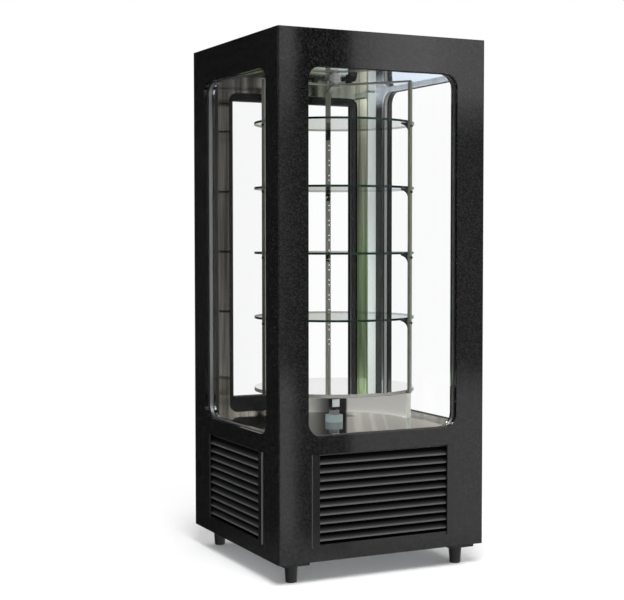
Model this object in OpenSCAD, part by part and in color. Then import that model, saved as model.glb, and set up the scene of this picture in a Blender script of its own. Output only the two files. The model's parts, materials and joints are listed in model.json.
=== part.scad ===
// Refrigerated pastry case: four glazed sides, a service door at the back,
// and a slowly turning carousel of round glass shelves over a machine compartment.
// +X is the right side, -Y the front, +Y the door side, +Z up. Origin: floor, centre.

/* [Body] */
// Width across the side panels
body_w = 800; // [780:5:860]
// Depth across the front and back panels
body_d = 780; // [770:5:860]
// Height of the body above its feet
body_h = 1790; // [1780:10:1900]
// Sheet thickness of the outer panels
skin = 1.5; // [1:0.1:2]
// Outer radius of the bent vertical edges
edge_r = 5; // [3:0.5:8]
// Length of the edge flange of the front and back panels along the sides
wrap = 16; // [10:1:24]
// Depth of a wall from its outer face to the lined cell
wall = 45; // [42:1:50]

/* [Feet] */
// Height of a foot with its mounting block
foot_h = 75; // [60:1:100]
// Foot diameter at the top
foot_top_d = 47; // [36:1:60]
// Foot diameter at the floor
foot_base_d = 39; // [26:1:50]
// Distance of a foot's centre from the side face of the body
foot_inset_x = 75; // [65:1:110]
// Distance of a foot's centre from the front or back face of the body
foot_inset_y = 65; // [60:1:110]
// Side length of the square mounting block under the body
foot_plate_w = 100; // [70:1:110]
// Height of the mounting block
foot_plate_t = 12; // [6:1:20]
// Diameter of the foot's threaded stud
stud_d = 10; // [8:1:14]

/* [Windows] */
// Width of the stiles beside the front window
front_stile = 111; // [106:1:125]
// Width of the stiles beside a side window
side_stile = 103; // [98:1:125]
// Height of the rail above the windows
top_rail = 124; // [112:1:150]
// Height of the window sill above the lower edge of the body
sill_h = 425; // [420:1:430]
// Corner radius of the window openings
window_r = 48; // [20:1:80]
// Depth of the dark reveal in front of the glass
reveal = 18; // [12:1:20]
// Thickness of one pane
pane_t = 4; // [3:0.5:5]
// Gap between the two panes
pane_gap = 12; // [9:1:14]
// How far the glass reaches behind the reveal
glass_overlap = 18; // [12:1:20]

/* [Cell] */
// Thickness of the polished lining
lining_t = 1.5; // [0.8:0.1:2]
// Height of the window sill above the cell floor
sill_step = 10; // [8:1:14]
// Height of the cell ceiling above the window head
head_step = 9; // [8:1:14]
// Thickness of the insulated ceiling deck above the window ledge
ceiling_deck_t = 44; // [38:1:60]
// How far the back wall's lining reaches into the window outline at each side
back_inset_x = 14; // [8:1:22]
// How far the back wall's lining reaches into the window outline at the top
back_inset_top = 22; // [12:1:34]
// Corner radius of the back wall's opening
back_r = 34; // [20:1:60]
// Width of a lamp strip in a back corner
lamp_w = 34; // [20:1:40]
// Depth of a lamp strip
lamp_d = 8; // [5:1:12]

/* [Door] */
// How far the door opening reaches past the window outline, each side
door_margin_x = 35; // [32:1:38]
// How far the door opening reaches past the window outline, top and bottom
door_margin_z = 40; // [34:1:44]
// Gap between the door edge and its opening
door_gap = 6; // [5:0.5:7]
// Thickness of the door leaf
door_t = 38; // [34:1:39]
// Width of the door's stiles seen inside the window outline
door_stile = 33; // [30:1:48]
// Height of the door's bottom rail seen inside the window outline
door_rail_low = 59; // [50:1:80]
// Height of the door's top rail seen inside the window outline
door_rail_high = 51; // [40:1:70]
// Distance of the hinge axis from the door's edge and outer face
hinge_inset = 10; // [9:0.5:12]
// Diameter of the hinge pins
hinge_pin_d = 8; // [6:0.5:9]
// Height of the finger grip in the door frame
grip_h = 300; // [200:10:400]
// Width of the finger grip
grip_w = 22; // [18:1:24]
// Depth of the finger grip
grip_depth = 16; // [10:1:18]
// Width of the magnetic gasket
gasket_w = 13; // [10:1:14]

/* [Louvres] */
// Width of plain panel beside the front and back louvres
louvre_margin = 122; // [110:1:160]
// Width of plain panel beside a side louvre
side_louvre_margin = 132; // [110:1:160]
// Height of the front and side louvre panels
louvre_h = 318; // [304:1:320]
// Height of the louvre panels above the lower edge of the body
louvre_low = 47; // [40:1:47]
// Width of a side channel
channel_w = 30; // [20:1:40]
// How far the side channels stand out of the panel
channel_proud = 5; // [2:0.5:8]
// Distance from one slat to the next
slat_pitch = 29; // [24:0.5:34]
// Height of the lip that the panel keeps below the slats
lip_h = 10; // [6:1:14]
// Height of the plain strip above the slats
blank_h = 33; // [20:1:40]
// Depth of the slats behind the panel's face
slat_depth = 16; // [12:1:18]
// Height of the louvre panel below the door, on the back
back_louvre_h = 240; // [180:5:250]

/* [Carousel] */
// Gap between the posts and the nearest wall of the cell
post_clearance = 40; // [30:1:50]
// Gap between the rim of a glass shelf and the posts
rim_gap = 3; // [1:0.5:8]
// Thickness of a glass shelf
shelf_t = 8; // [5:1:12]
// Distance from the highest glass shelf up to the carousel's arms
top_space = 143; // [120:1:160]
// Height of the turntable plate above the cell floor
plate_rise = 130; // [120:1:150]
// Distance from the turntable plate up to the lowest glass shelf
first_shelf_rise = 255; // [240:1:270]
// Thickness of the turntable plate
plate_t = 3; // [2:0.5:5]
// Depth of the plate's turned-down rim
plate_rim = 10; // [6:1:14]
// Width of a post across the radius
post_w = 20; // [14:1:26]
// Depth of a post along the radius
post_d = 9; // [7:1:14]
// Wall of the square post tube
post_wall = 1.5; // [1:0.1:3]
// Height of a shelf bracket
bracket_h = 34; // [24:1:50]
// Thickness of a shelf bracket
bracket_t = 16; // [8:1:17]
// How far a bracket reaches under the glass
bracket_reach = 24; // [16:1:34]
// Diameter of the adjustment holes in the posts
peg_hole_d = 5; // [3:0.5:7]
// Distance between the two holes of a pair
peg_pair = 18; // [12:0.5:22]
// Distance from one pair of holes to the next
peg_pitch = 58; // [44:0.5:70]
// Sideways offset of the holes from the middle of a post
peg_offset = 4; // [0:0.5:5]
// Diameter of the carousel's shaft
shaft_d = 20; // [16:1:24]
// Radial running clearance of shafts and hinge pins
running_gap = 0.05; // [0.02:0.01:0.09]

/* [Machine compartment] */
// Radius of the condenser fan
fan_r = 104; // [80:1:110]
// Number of condenser fan blades
fan_blades = 5; // [3:1:7]
// Radius of the evaporator fan
small_fan_r = 43; // [35:1:45]
// Diameter of the compressor shell
compressor_d = 172; // [140:2:190]
// Height of the compressor shell
compressor_h = 205; // [160:5:230]
// Diameter of the refrigerant pipes
pipe_d = 9; // [6:0.5:12]

/* [Hidden] */
$fn = 64;

FRONT = 0;
RIGHT = 1;
BACK = 2;
LEFT = 3;
seat = 0.3;                 // gap between a fitted piece and its seat
eps = 0.01;                 // overshoot of a cut past the face it opens

// Openings of the outer panels
front_window_w = body_w - 2 * front_stile;
side_window_w = body_d - 2 * side_stile;
window_h = body_h - sill_h - top_rail;
louvre_w = body_w - 2 * louvre_margin;
side_louvre_w = body_d - 2 * side_louvre_margin;

// Heights from the floor
base_z = foot_h;
top_z = foot_h + body_h;
window_z = foot_h + sill_h;
window_top = window_z + window_h;
floor_z = window_z - sill_step;
ceiling_z = window_top + head_step;
ledge_low = window_z - glass_overlap - 2;
ledge_high = window_top + glass_overlap + 2;
deck_high = ledge_high + ceiling_deck_t;
louvre_z = foot_h + louvre_low;
deck_low = louvre_z + louvre_h;          // underside of the insulated floor deck

// Inside of the cell and of the skin
cell_x = body_w / 2 - wall;
cell_y = body_d / 2 - wall;
in_x = body_w / 2 - skin;
in_y = body_d / 2 - skin;
unit_t = 2 * pane_t + pane_gap;          // thickness of a sealed glass unit
back_unit = reveal + unit_t;             // depth of its inner face

// Door opening, leaf and hinge axis
door_open_x = front_window_w / 2 + door_margin_x;
door_open_z = window_z - door_margin_z;
door_open_top = window_top + door_margin_z;
door_x = door_open_x - door_gap;
door_z = door_open_z + door_gap;
door_top = door_open_top - door_gap;
door_in_y = body_d / 2 - door_t;
door_clear_w = front_window_w - 2 * door_stile;
clear_z = window_z + door_rail_low;
clear_top = window_top - door_rail_high;
hinge_x = -door_x + hinge_inset;
hinge_y = body_d / 2 - hinge_inset;
pin_len = 14;
bracket_plate = door_gap - 1.5;
rebate = 10;                             // depth of the groove that holds the door glass
spacer_w = 8;

// Carousel
plate_z = floor_z + plate_rise;          // underside of the turntable plate
post_angles = [68, 188, 308];
post_out = min(cell_x, cell_y) - post_clearance;
post_in = post_out - post_d;
post_low = plate_z - plate_rim;
shelf_r = post_in - rim_gap;
arm_t = 6;
hub_d = 40;
bearing_d = 54;
bearing_flange_t = 11;
bearing_collar_d = 36;
bearing_drop = 8;
hub_top = ceiling_z - bearing_flange_t - bearing_drop - 1;
arm_z = hub_top - 7;
shelf_count = 4;
shelf_z0 = plate_z + first_shelf_rise;   // underside of the lowest glass shelf
shelf_pitch = (arm_z - top_space - shelf_z0) / (shelf_count - 1);
gear_top = deck_low;                     // the gearmotor hangs under the floor deck
gear_h = 52;
gear_half = 36;
gear_flange = [112, 84];
pedestal_d = 64;
pedestal_h = 26;
sleeve_d = 44;
neck_d = 37;
drive_block = [30, 30, 35];
drive_block_rise = 52;                   // of its underside above the cell floor
drive_disc_d = 120;
baffle_r = shelf_r + 3;
baffle_t = 1.5;
baffle_h = plate_rise - plate_rim - 6;

// Machine compartment
tray_t = 1.5;
tray_top = base_z + tray_t;
fan_y = -body_d / 2 + 128;               // middle plane of the condenser fan
fan_x = -95;
fan_z = tray_top + 2 + fan_r + 20;
coil_t = 44;
coil_w = 300;
coil_rows = [11, 33];
coil_y = -body_d / 2 + slat_depth + 34;
coil_top = fan_z + fan_r + 12;
tube_z = tray_top + 20;                  // lowest condenser tube
tube_pitch = 38;
tube_rows = floor((coil_top - tube_z - 8) / tube_pitch) + 1;
coil_end = fan_x + coil_w / 2 + 8;
comp_x = 150;
comp_y = -60;
comp_rise = 20;                          // of the shell above the base tray
comp_top = tray_top + comp_rise + compressor_h;
comp_plate = [206, 150];
comp_plate_t = 4;
comp_foot = [88, 58];                    // of a foot from the shell's axis
comp_foot_r = 7;
drier_p = [comp_x - 56, comp_y + 150, tray_top + 120];
drier_l = 142;
duct_b = [cell_x - 22, cell_y - 20];     // air outlet in the back right corner of the floor
duct_a = duct_b - [108, 106];
duct_mid = (duct_a + duct_b) / 2;
tub_wall = 18;
fan_arm = 50;                            // half the span of the evaporator fan's cross
evap_w = 50;                             // depth of the evaporator coil along the air
evap_x = duct_mid.x - fan_arm - 17 - evap_w;
inlet_w = 104;                           // space in front of the coil
tub_a = [evap_x - inlet_w - tub_wall, 76, deck_low - 138];
tub_b = [cell_x, cell_y, deck_low];
return_a = [tub_a.x, tub_a.y] + [20, 20]; // air return inside the baffle
return_b = return_a + [90, 90];
box_a = [-cell_x + 5, cell_y - 215, tray_top];
box_size = [130, 170, 150];
box_wall = 3;
pan_a = [tub_a.x + 50, tub_a.y + 74, tray_top];
pan_b = [tub_b.x - 55, tub_b.y - 5, tray_top + 42];
pan_wall = 3;
switch_z = deck_low - 36;
switch_x = [-95, -60];
switch_size = [13, 19];
switch_tilt = 8;
gland_x = louvre_w / 2 + 22;
gland_z = base_z + 60;
gland_thread_d = 20;
control_w = 230;
control_h = 52;

// Helpers
module block(a, b) translate(a) cube(b - a);

// Rectangle between two corners given in any order
module rect(a, b)
    translate([min(a.x, b.x), min(a.y, b.y)]) square([abs(a.x - b.x), abs(a.y - b.y)]);

module rounded_rect(w, h, r) {
    square([w - 2 * r, h], center = true);
    square([w, h - 2 * r], center = true);
    for (x = [-1, 1], y = [-1, 1])
        translate([x * (w / 2 - r), y * (h / 2 - r)]) circle(r);
}

// Plan outline of the body at an inset from its outer faces
module plan(inset, r) rounded_rect(body_w - 2 * inset, body_d - 2 * inset, r);

function face(side) = side % 2 == 0 ? body_d / 2 : body_w / 2;
function window_w(side) = side % 2 == 0 ? front_window_w : side_window_w;
function lip_w(side) = side % 2 == 0 ? louvre_w : side_louvre_w;
function panel_h(side) = side == BACK ? back_louvre_h : louvre_h;

// Prism of a shape drawn in the wall's own plane, from depth v behind the outer face inwards
module on_wall(side, v, depth)
    rotate([0, 0, 90 * side])
        translate([0, -face(side) + v + depth, 0])
            rotate([90, 0, 0])
                linear_extrude(depth) children();

module window_2d(side, grow = 0)
    translate([0, window_z + window_h / 2])
        rounded_rect(window_w(side) + 2 * grow, window_h + 2 * grow, window_r + grow);

module door_opening_2d(grow = 0)
    rect([-door_open_x - grow, door_open_z - grow], [door_open_x + grow, door_open_top + grow]);

module louvre_opening_2d(side)
    rect([-lip_w(side) / 2 + channel_w - 4, louvre_z + lip_h],
         [lip_w(side) / 2 - channel_w + 4, louvre_z + panel_h(side) - 1]);

// Front or back panel with its bent edges, seen in plan
module wrapped_sheet(sy)
    translate([0, 0, base_z]) linear_extrude(body_h)
        intersection() {
            difference() {
                plan(0, edge_r);
                plan(skin, edge_r - skin);
            }
            rect([-body_w, sy * (body_d / 2 - wrap)], [body_w, sy * body_d]);
        }

module flat_sheet(side)
    on_wall(side, 0, skin)
        rect([-body_d / 2 + wrap + seat, base_z], [body_d / 2 - wrap - seat, top_z]);

module window_return(side)
    on_wall(side, 0, reveal)
        difference() {
            window_2d(side, skin);
            window_2d(side);
        }

// Outer panels
module front_panel() color("#1c1d1f") {
    difference() {
        union() {
            wrapped_sheet(-1);
            window_return(FRONT);
        }
        on_wall(FRONT, -1, skin + 2) window_2d(FRONT);
        on_wall(FRONT, -1, skin + 2) louvre_opening_2d(FRONT);
    }
}

module side_panel(side)
    difference() {
        union() {
            flat_sheet(side);
            window_return(side);
        }
        on_wall(side, -1, skin + 2) window_2d(side);
        on_wall(side, -1, skin + 2) louvre_opening_2d(side);
    }

module left_panel() color("#17181a") side_panel(LEFT);
module right_panel() color("#17181a") side_panel(RIGHT);

module back_panel() color("#1c1d1f") {
    difference() {
        union() {
            wrapped_sheet(1);
            on_wall(BACK, 0, wall - lining_t)
                difference() {
                    door_opening_2d(skin);
                    door_opening_2d();
                }
        }
        on_wall(BACK, -1, wall + 2) door_opening_2d();
        on_wall(BACK, -1, skin + 2) louvre_opening_2d(BACK);
        on_wall(BACK, -1, skin + 2) control_cutout_2d();
        on_wall(BACK, -1, skin + 2) translate([gland_x, gland_z]) circle(gland_thread_d / 2 + seat);
    }
}

module top_panel() color("#1c1d1f") {
    translate([0, 0, top_z - skin]) linear_extrude(skin) plan(skin + 0.2, edge_r);
    translate([0, 0, top_z - 22]) linear_extrude(22 - skin + eps)
        difference() {
            plan(skin + 0.2, edge_r);
            plan(2 * skin + 0.2, edge_r);
        }
}

module base_tray() color("#3a3c3f") {
    translate([0, 0, base_z]) linear_extrude(tray_t)
        difference() {
            plan(skin + 0.2, edge_r);
            at_feet_2d() circle(stud_d / 2 + seat);
        }
    translate([0, 0, base_z]) linear_extrude(28)
        difference() {
            plan(skin + 0.2, edge_r);
            plan(2 * skin + 0.2, edge_r);
        }
}

// Insulated structure
// L-shaped corner post in plan, for the corner with signs sx and sy
module corner_2d(sx, sy, inset) {
    leg_x = sy < 0 ? front_window_w / 2 + glass_overlap + seat : door_open_x + skin;
    leg_y = side_window_w / 2 + glass_overlap + seat;
    intersection() {
        union() {
            rect([sx * leg_x, sy * (cell_y + lining_t)], [sx * in_x, sy * in_y]);
            rect([sx * (cell_x + lining_t), sy * leg_y], [sx * in_x, sy * in_y]);
        }
        plan(inset, edge_r);
    }
}

module corner_posts() color("#8a8c8e")
    translate([0, 0, tray_top]) linear_extrude(deck_high - tray_top)
        for (sx = [-1, 1], sy = [-1, 1]) corner_2d(sx, sy, 2 * skin + 0.2 + seat);

// Deck outline: the inside of the skin less the corner posts
module deck_2d()
    difference() {
        plan(skin, edge_r);
        for (sx = [-1, 1], sy = [-1, 1]) corner_2d(sx, sy, 0);
    }

module door_pocket()
    block([-door_open_x - skin, cell_y + lining_t, door_open_z - skin],
          [door_open_x + skin, body_d, door_open_top + skin]);

module duct_hole(a, b, z0, z1) block([a.x, a.y, z0], [b.x, b.y, z1]);

module floor_deck() color("#c9c3a8")
    difference() {
        union() {
            translate([0, 0, deck_low]) linear_extrude(ledge_low - deck_low) deck_2d();
            block([-cell_x, -cell_y, ledge_low - eps], [cell_x, cell_y, floor_z - lining_t]);
        }
        door_pocket();
        translate([0, 0, deck_low - 1]) cylinder(r = sleeve_d / 2 + seat, h = floor_z - deck_low);
        duct_hole(duct_a, duct_b, deck_low - 1, floor_z);
        duct_hole(return_a, return_b, deck_low - 1, floor_z);
    }

module ceiling_deck() color("#c9c3a8")
    difference() {
        union() {
            translate([0, 0, ledge_high]) linear_extrude(ceiling_deck_t) deck_2d();
            block([-cell_x, -cell_y, ceiling_z + lining_t], [cell_x, cell_y, ledge_high + eps]);
        }
        door_pocket();
    }

// Polished lining
module slots_2d(a, b, count) {
    pitch = (b.y - a.y) / count;
    for (i = [0 : count - 1])
        translate([(a.x + b.x) / 2, a.y + (i + 0.5) * pitch])
            rounded_rect(b.x - a.x - 12, pitch * 0.45, 2);
}

module floor_tray() color("#c6c9cc")
    translate([0, 0, floor_z - lining_t]) linear_extrude(lining_t)
        difference() {
            square([2 * cell_x, 2 * cell_y], center = true);
            circle(sleeve_d / 2 + seat);
            slots_2d(duct_a, duct_b, 6);
            slots_2d(return_a, return_b, 6);
        }

module ceiling_lining() color("#c6c9cc")
    translate([0, 0, ceiling_z]) linear_extrude(lining_t)
        square([2 * cell_x, 2 * cell_y], center = true);

// One lining frame with a rounded opening and a lip that meets the glass unit
module lining_opening_2d(side, grow = 0)
    if (side == BACK)
        translate([0, (window_z + window_top - back_inset_top) / 2])
            rounded_rect(front_window_w - 2 * back_inset_x + 2 * grow,
                         window_h - back_inset_top + 2 * grow, back_r + grow);
    else
        window_2d(side, grow);

module lining_frame(side) {
    half_w = side % 2 == 0 ? cell_x + lining_t / 2 : cell_y + lining_t;
    lip = side == BACK ? wall - (body_d / 2 - door_in_y) - 3 : wall - back_unit;
    on_wall(side, wall - lining_t, lining_t)
        difference() {
            rect([-half_w, ledge_low], [half_w, ledge_high]);
            lining_opening_2d(side);
        }
    on_wall(side, wall - lip, lip)
        difference() {
            lining_opening_2d(side, lining_t);
            lining_opening_2d(side);
        }
}

module lining_frames() color("#c6c9cc")
    for (side = [FRONT, RIGHT, BACK, LEFT]) lining_frame(side);

// Glazing
module glass_2d(side)
    translate([0, window_z + window_h / 2])
        square([window_w(side) + 2 * glass_overlap, window_h + 2 * glass_overlap], center = true);

module glass_unit(side) {
    on_wall(side, reveal, pane_t) glass_2d(side);
    on_wall(side, reveal + pane_t + pane_gap, pane_t) glass_2d(side);
}

module front_glass() color("#dfeeea", 0.3) glass_unit(FRONT);
module left_glass() color("#dfeeea", 0.3) glass_unit(LEFT);
module right_glass() color("#dfeeea", 0.3) glass_unit(RIGHT);

module glazing_rings() color("#d4d6d8")
    for (side = [FRONT, RIGHT, LEFT])
        on_wall(side, reveal + pane_t, pane_gap)
            difference() {
                glass_2d(side);
                window_2d(side);
            }

// Louvre panels
// Section of one slat: a sheet that leans out to a rolled lower edge
module slat_2d(height) {
    nose = 2.2;
    polygon([[nose, nose * 2], [slat_depth - 2, height + 2], [slat_depth, height + 2],
             [nose * 2 - 0.4, nose]]);
    translate([nose + 0.3, nose]) circle(nose);
}

module louvre(side) {
    w = lip_w(side);
    h = panel_h(side);
    inner = w / 2 - channel_w;
    count = floor((h - blank_h - lip_h) / slat_pitch);
    low = lip_h + seat;
    rotate([0, 0, 90 * side]) translate([0, -face(side), louvre_z]) {
        for (s = [-1, 1]) {
            // channel over the edge of the opening
            linear_extrude(h)
                polygon([[s * (inner + channel_w), 0], [s * (inner + channel_w - 2), -channel_proud],
                         [s * (inner + 2), -channel_proud], [s * inner, 0]]);
            // cheek that carries the slat ends
            block([s > 0 ? inner : -inner - 2, -eps, low],
                  [s > 0 ? inner + 2 : -inner, slat_depth + 2, h - 3]);
        }
        translate([-inner - 1, 0, 0]) rotate([90, 0, 90]) linear_extrude(2 * inner + 2) {
            for (i = [0 : count - 1])
                translate([0, h - blank_h - 4 - (i + 1) * slat_pitch]) slat_2d(slat_pitch);
            translate([0, h - blank_h - 4]) slat_2d(blank_h - 2);
            // sill on the panel's lip and the upright behind it
            rect([-1, low], [slat_depth, low + 2]);
            rect([slat_depth - 2, low], [slat_depth, h - blank_h - count * slat_pitch]);
        }
    }
}

module front_louvre() color("#202124") louvre(FRONT);
module left_louvre() color("#202124") louvre(LEFT);
module right_louvre() color("#202124") louvre(RIGHT);
module back_louvre() color("#202124") louvre(BACK);

// Feet
module at_feet_2d()
    for (sx = [-1, 1], sy = [-1, 1])
        translate([sx * (body_w / 2 - foot_inset_x), sy * (body_d / 2 - foot_inset_y)]) children();

module at_feet()
    for (sx = [-1, 1], sy = [-1, 1])
        translate([sx * (body_w / 2 - foot_inset_x), sy * (body_d / 2 - foot_inset_y), 0]) children();

module feet() color("#131416")
    at_feet() {
        rotate_extrude()
            polygon([[0, 0], [foot_base_d / 2 - 2, 0], [foot_base_d / 2, 2],
                     [foot_top_d / 2, foot_h - foot_plate_t - 3],
                     [foot_top_d / 2 - 1, foot_h - foot_plate_t], [0, foot_h - foot_plate_t]]);
        cylinder(d = stud_d, h = foot_h + 14);
    }

module foot_plates() color("#131416")
    translate([0, 0, foot_h - foot_plate_t]) linear_extrude(foot_plate_t)
        at_feet_2d()
            difference() {
                rounded_rect(foot_plate_w, foot_plate_w, 8);
                circle(stud_d / 2 + seat);
            }

// Cell fittings
module lamp_strips() color("#f4f6f2")
    for (sx = [-1, 1])
        translate([0, 0, window_z - 4]) linear_extrude(window_h + 8)
            translate([sx * (cell_x - lamp_w / 2), cell_y - lamp_d / 2])
                rounded_rect(lamp_w, lamp_d, 2);

module ceiling_bearing() color("#c9ccce")
    difference() {
        translate([0, 0, ceiling_z - bearing_flange_t]) {
            cylinder(d = bearing_d, h = bearing_flange_t);
            translate([0, 0, -bearing_drop]) cylinder(d = bearing_collar_d, h = bearing_drop + eps);
        }
        translate([0, 0, hub_top]) cylinder(r = shaft_d / 2 + running_gap, h = ceiling_z - hub_top - 3);
    }

module ceiling_probe() color("#1a1b1e") {
    block([35, -25, ceiling_z - 8], [75, 5, ceiling_z]);
    translate([55, -10, arm_z + arm_t + 4]) cylinder(d = 22, h = ceiling_z - arm_z - arm_t - 4 - 7);
}

module pedestal() color("#5f7375")
    difference() {
        union() {
            translate([0, 0, floor_z]) cylinder(d = pedestal_d, h = pedestal_h);
            translate([0, 0, deck_low]) cylinder(d = sleeve_d, h = floor_z - deck_low + eps);
        }
        translate([0, 0, deck_low - 1])
            cylinder(r = shaft_d / 2 + running_gap, h = floor_z + pedestal_h - deck_low + 2);
    }

module air_baffle() color("#b9b8b2")
    translate([0, 0, floor_z]) rotate([0, 0, -4]) rotate_extrude(angle = 109, $fn = 128)
        union() {
            translate([baffle_r, 0]) square([baffle_t, baffle_h]);
            translate([baffle_r - 14, 0]) square([14 + baffle_t, baffle_t]);
        }

// Drive
module gearmotor() color("#7d8387")
    translate([0, 0, gear_top - gear_h])
        difference() {
            union() {
                block([-gear_half, -gear_half, 0], [gear_half, gear_half + 26, gear_h]);
                translate([0, gear_half, -66]) cylinder(d = 46, h = 67);
                translate([0, 0, gear_h - 4]) linear_extrude(4)
                    rounded_rect(gear_flange.x, gear_flange.y, 8);
            }
            translate([0, 0, gear_h - 20]) cylinder(r = shaft_d / 2 + running_gap, h = 21);
        }

module drive_shaft() color("#d2d4d6") {
    translate([0, 0, gear_top - 18]) cylinder(d = shaft_d, h = plate_z - gear_top + 18);
    translate([0, 0, floor_z + pedestal_h + 1]) cylinder(d = neck_d, h = 17);
    translate([-drive_block.x / 2, -drive_block.y / 2, floor_z + drive_block_rise]) cube(drive_block);
    translate([0, 0, plate_z - 5]) cylinder(d = drive_disc_d, h = 5);
}

// Evaporator under the cell floor
module evaporator_tub() color("#d8d5c6")
    difference() {
        block(tub_a, tub_b);
        block(tub_a + [tub_wall, tub_wall, tub_wall], tub_b + [-tub_wall, -tub_wall, 1]);
    }

module fin_stack(a, b, pitch, along) {
    n = floor((b[along] - a[along]) / pitch);
    for (i = [0 : n - 1])
        if (along == 0) block([a.x + i * pitch, a.y, a.z], [a.x + i * pitch + 1.2, b.y, b.z]);
        else block([a.x, a.y + i * pitch, a.z], [b.x, a.y + i * pitch + 1.2, b.z]);
}

module evaporator_coil() color("#aab0b3") {
    a = [evap_x, tub_a.y + tub_wall + 20, tub_a.z + tub_wall];
    b = [evap_x + evap_w, tub_b.y - tub_wall - 20, deck_low - 14];
    fin_stack(a, b, 12, 1);
    for (x = [14, 36], z = [20, 52, 84])
        translate([a.x + x, a.y - 6, a.z + z]) rotate([-90, 0, 0])
            cylinder(d = pipe_d, h = b.y - a.y + 8);
}

module evaporator_fan_motor() color("#2b2e31")
    translate([duct_mid.x, duct_mid.y, 0]) {
        translate([0, 0, deck_low - 74]) cylinder(d = 46, h = 40);
        translate([0, 0, deck_low - 35]) cylinder(d = 6, h = 12);
        for (r = [0, 90]) rotate([0, 0, r])
            block([-fan_arm, -3, deck_low - 60], [fan_arm, 3, deck_low - 54]);
        for (x = [-fan_arm, fan_arm - 6])
            block([x, -3, tub_a.z + tub_wall], [x + 6, 3, deck_low - 54]);
    }

module fan_blade(r_in, r_out, chord, t)
    rotate([28, 0, 0])
        translate([r_in, -chord / 2, -t / 2]) linear_extrude(t) {
            translate([0, chord * 0.18]) square([4, chord * 0.64]);
            polygon([[2, chord * 0.18], [(r_out - r_in) * 0.55, 0], [r_out - r_in - 8, chord * 0.06],
                     [r_out - r_in - 1, chord * 0.3], [r_out - r_in - 3, chord * 0.86],
                     [(r_out - r_in) * 0.5, chord], [2, chord * 0.82]]);
        }

module evaporator_fan() color("#303438")
    translate([duct_mid.x, duct_mid.y, deck_low - 33.6]) {
        difference() {
            cylinder(d = 30, h = 18);
            translate([0, 0, -1]) cylinder(r = 3 + running_gap, h = 14);
        }
        for (i = [0 : 4])
            rotate([0, 0, i * 72]) translate([0, 0, 10]) fan_blade(12, small_fan_r, 22, 1.6);
    }

// Condensing unit
module compressor() color("#17191b")
    translate([comp_x, comp_y, tray_top]) {
        translate([0, 0, comp_rise]) rotate_extrude() {
            polygon([[0, 0], [compressor_d * 0.34, 0], [compressor_d * 0.46, 14],
                     [compressor_d / 2, 34], [compressor_d / 2, compressor_h * 0.62],
                     [compressor_d * 0.47, compressor_h * 0.8],
                     [compressor_d * 0.34, compressor_h * 0.95], [compressor_d * 0.16, compressor_h],
                     [0, compressor_h]]);
            translate([compressor_d / 2 - 3, compressor_h * 0.56]) square([8, 6]);
        }
        translate([0, 0, comp_rise - comp_plate_t + 1]) linear_extrude(comp_plate_t)
            difference() {
                rounded_rect(comp_plate.x, comp_plate.y, 16);
                for (x = [-1, 1], y = [-1, 1])
                    translate([x * comp_foot.x, y * comp_foot.y]) circle(comp_foot_r);
            }
        block([-32, -compressor_d / 2 - 26, 70], [32, -compressor_d / 2 + 14, 132]);
    }

module compressor_feet() color("#111214")
    for (x = [-1, 1], y = [-1, 1])
        translate([comp_x + x * comp_foot.x, comp_y + y * comp_foot.y, tray_top]) {
            cylinder(d1 = 26, d2 = 22, h = comp_rise - comp_plate_t + 1);
            cylinder(r = comp_foot_r - seat, h = comp_rise + 5);
        }

module condenser_coil() color("#9aa0a3") {
    a = [fan_x - coil_w / 2, coil_y, tray_top + 2];
    b = [fan_x + coil_w / 2, coil_y + coil_t, coil_top];
    fin_stack(a, b, 12, 0);
    for (x = [a.x - 1, b.x - 2]) block([x, a.y - 2, tray_top], [x + 3, b.y + 2, b.z + 2]);
    for (y = coil_rows, i = [0 : tube_rows - 1])
        translate([a.x - 8, coil_y + y, tube_z + i * tube_pitch]) rotate([0, 90, 0])
            cylinder(d = pipe_d, h = coil_w + 16);
}

module fan_shroud() color("#2a2c2f") {
    y0 = coil_y + coil_t + 2;
    difference() {
        block([fan_x - coil_w / 2, y0, tray_top], [fan_x + coil_w / 2, y0 + 1.5, coil_top + 2]);
        translate([fan_x, y0 - 1, fan_z]) rotate([-90, 0, 0]) cylinder(r = fan_r + 5, h = 4);
    }
    translate([fan_x, y0, fan_z]) rotate([-90, 0, 0])
        difference() {
            cylinder(r = fan_r + 7, h = 30);
            translate([0, 0, -1]) cylinder(r = fan_r + 5, h = 32);
        }
}

module condenser_fan_motor() color("#3d4144")
    translate([fan_x, fan_y + 20, fan_z]) {
        rotate([-90, 0, 0]) cylinder(d = 84, h = 58);
        rotate([90, 0, 0]) cylinder(d = 8, h = 14);
        for (s = [-1, 1])
            block([s * 26 - 8, 20, tray_top - fan_z], [s * 26 + 8, 24, -20]);
        block([-40, 8, tray_top - fan_z], [40, 44, tray_top - fan_z + 3]);
    }

module condenser_fan() color("#33383c")
    translate([fan_x, fan_y - 14, fan_z]) rotate([-90, 0, 0]) {
        difference() {
            cylinder(d = 50, h = 24);
            translate([0, 0, 14]) cylinder(r = 4 + running_gap, h = 11);
        }
        for (i = [0 : fan_blades - 1])
            rotate([0, 0, i * 360 / fan_blades]) translate([0, 0, 12])
                fan_blade(20, fan_r, 62, 2);
    }

// Round pipe through a list of points
module pipe(points, d)
    for (i = [0 : len(points) - 2]) {
        run = points[i + 1] - points[i];
        length = norm(run);
        translate(points[i]) {
            rotate([0, acos(run.z / length), atan2(run.y, run.x)]) cylinder(d = d, h = length);
            if (i > 0) sphere(d = d);
        }
    }

module filter_drier() color("#a9713d")
    translate(drier_p) rotate([0, 90, 0]) rotate_extrude()
        polygon([[0, 0], [5, 0], [6, 14], [15, 28], [15, drier_l - 28], [6, drier_l - 14],
                 [5, drier_l], [0, drier_l]]);

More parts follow.
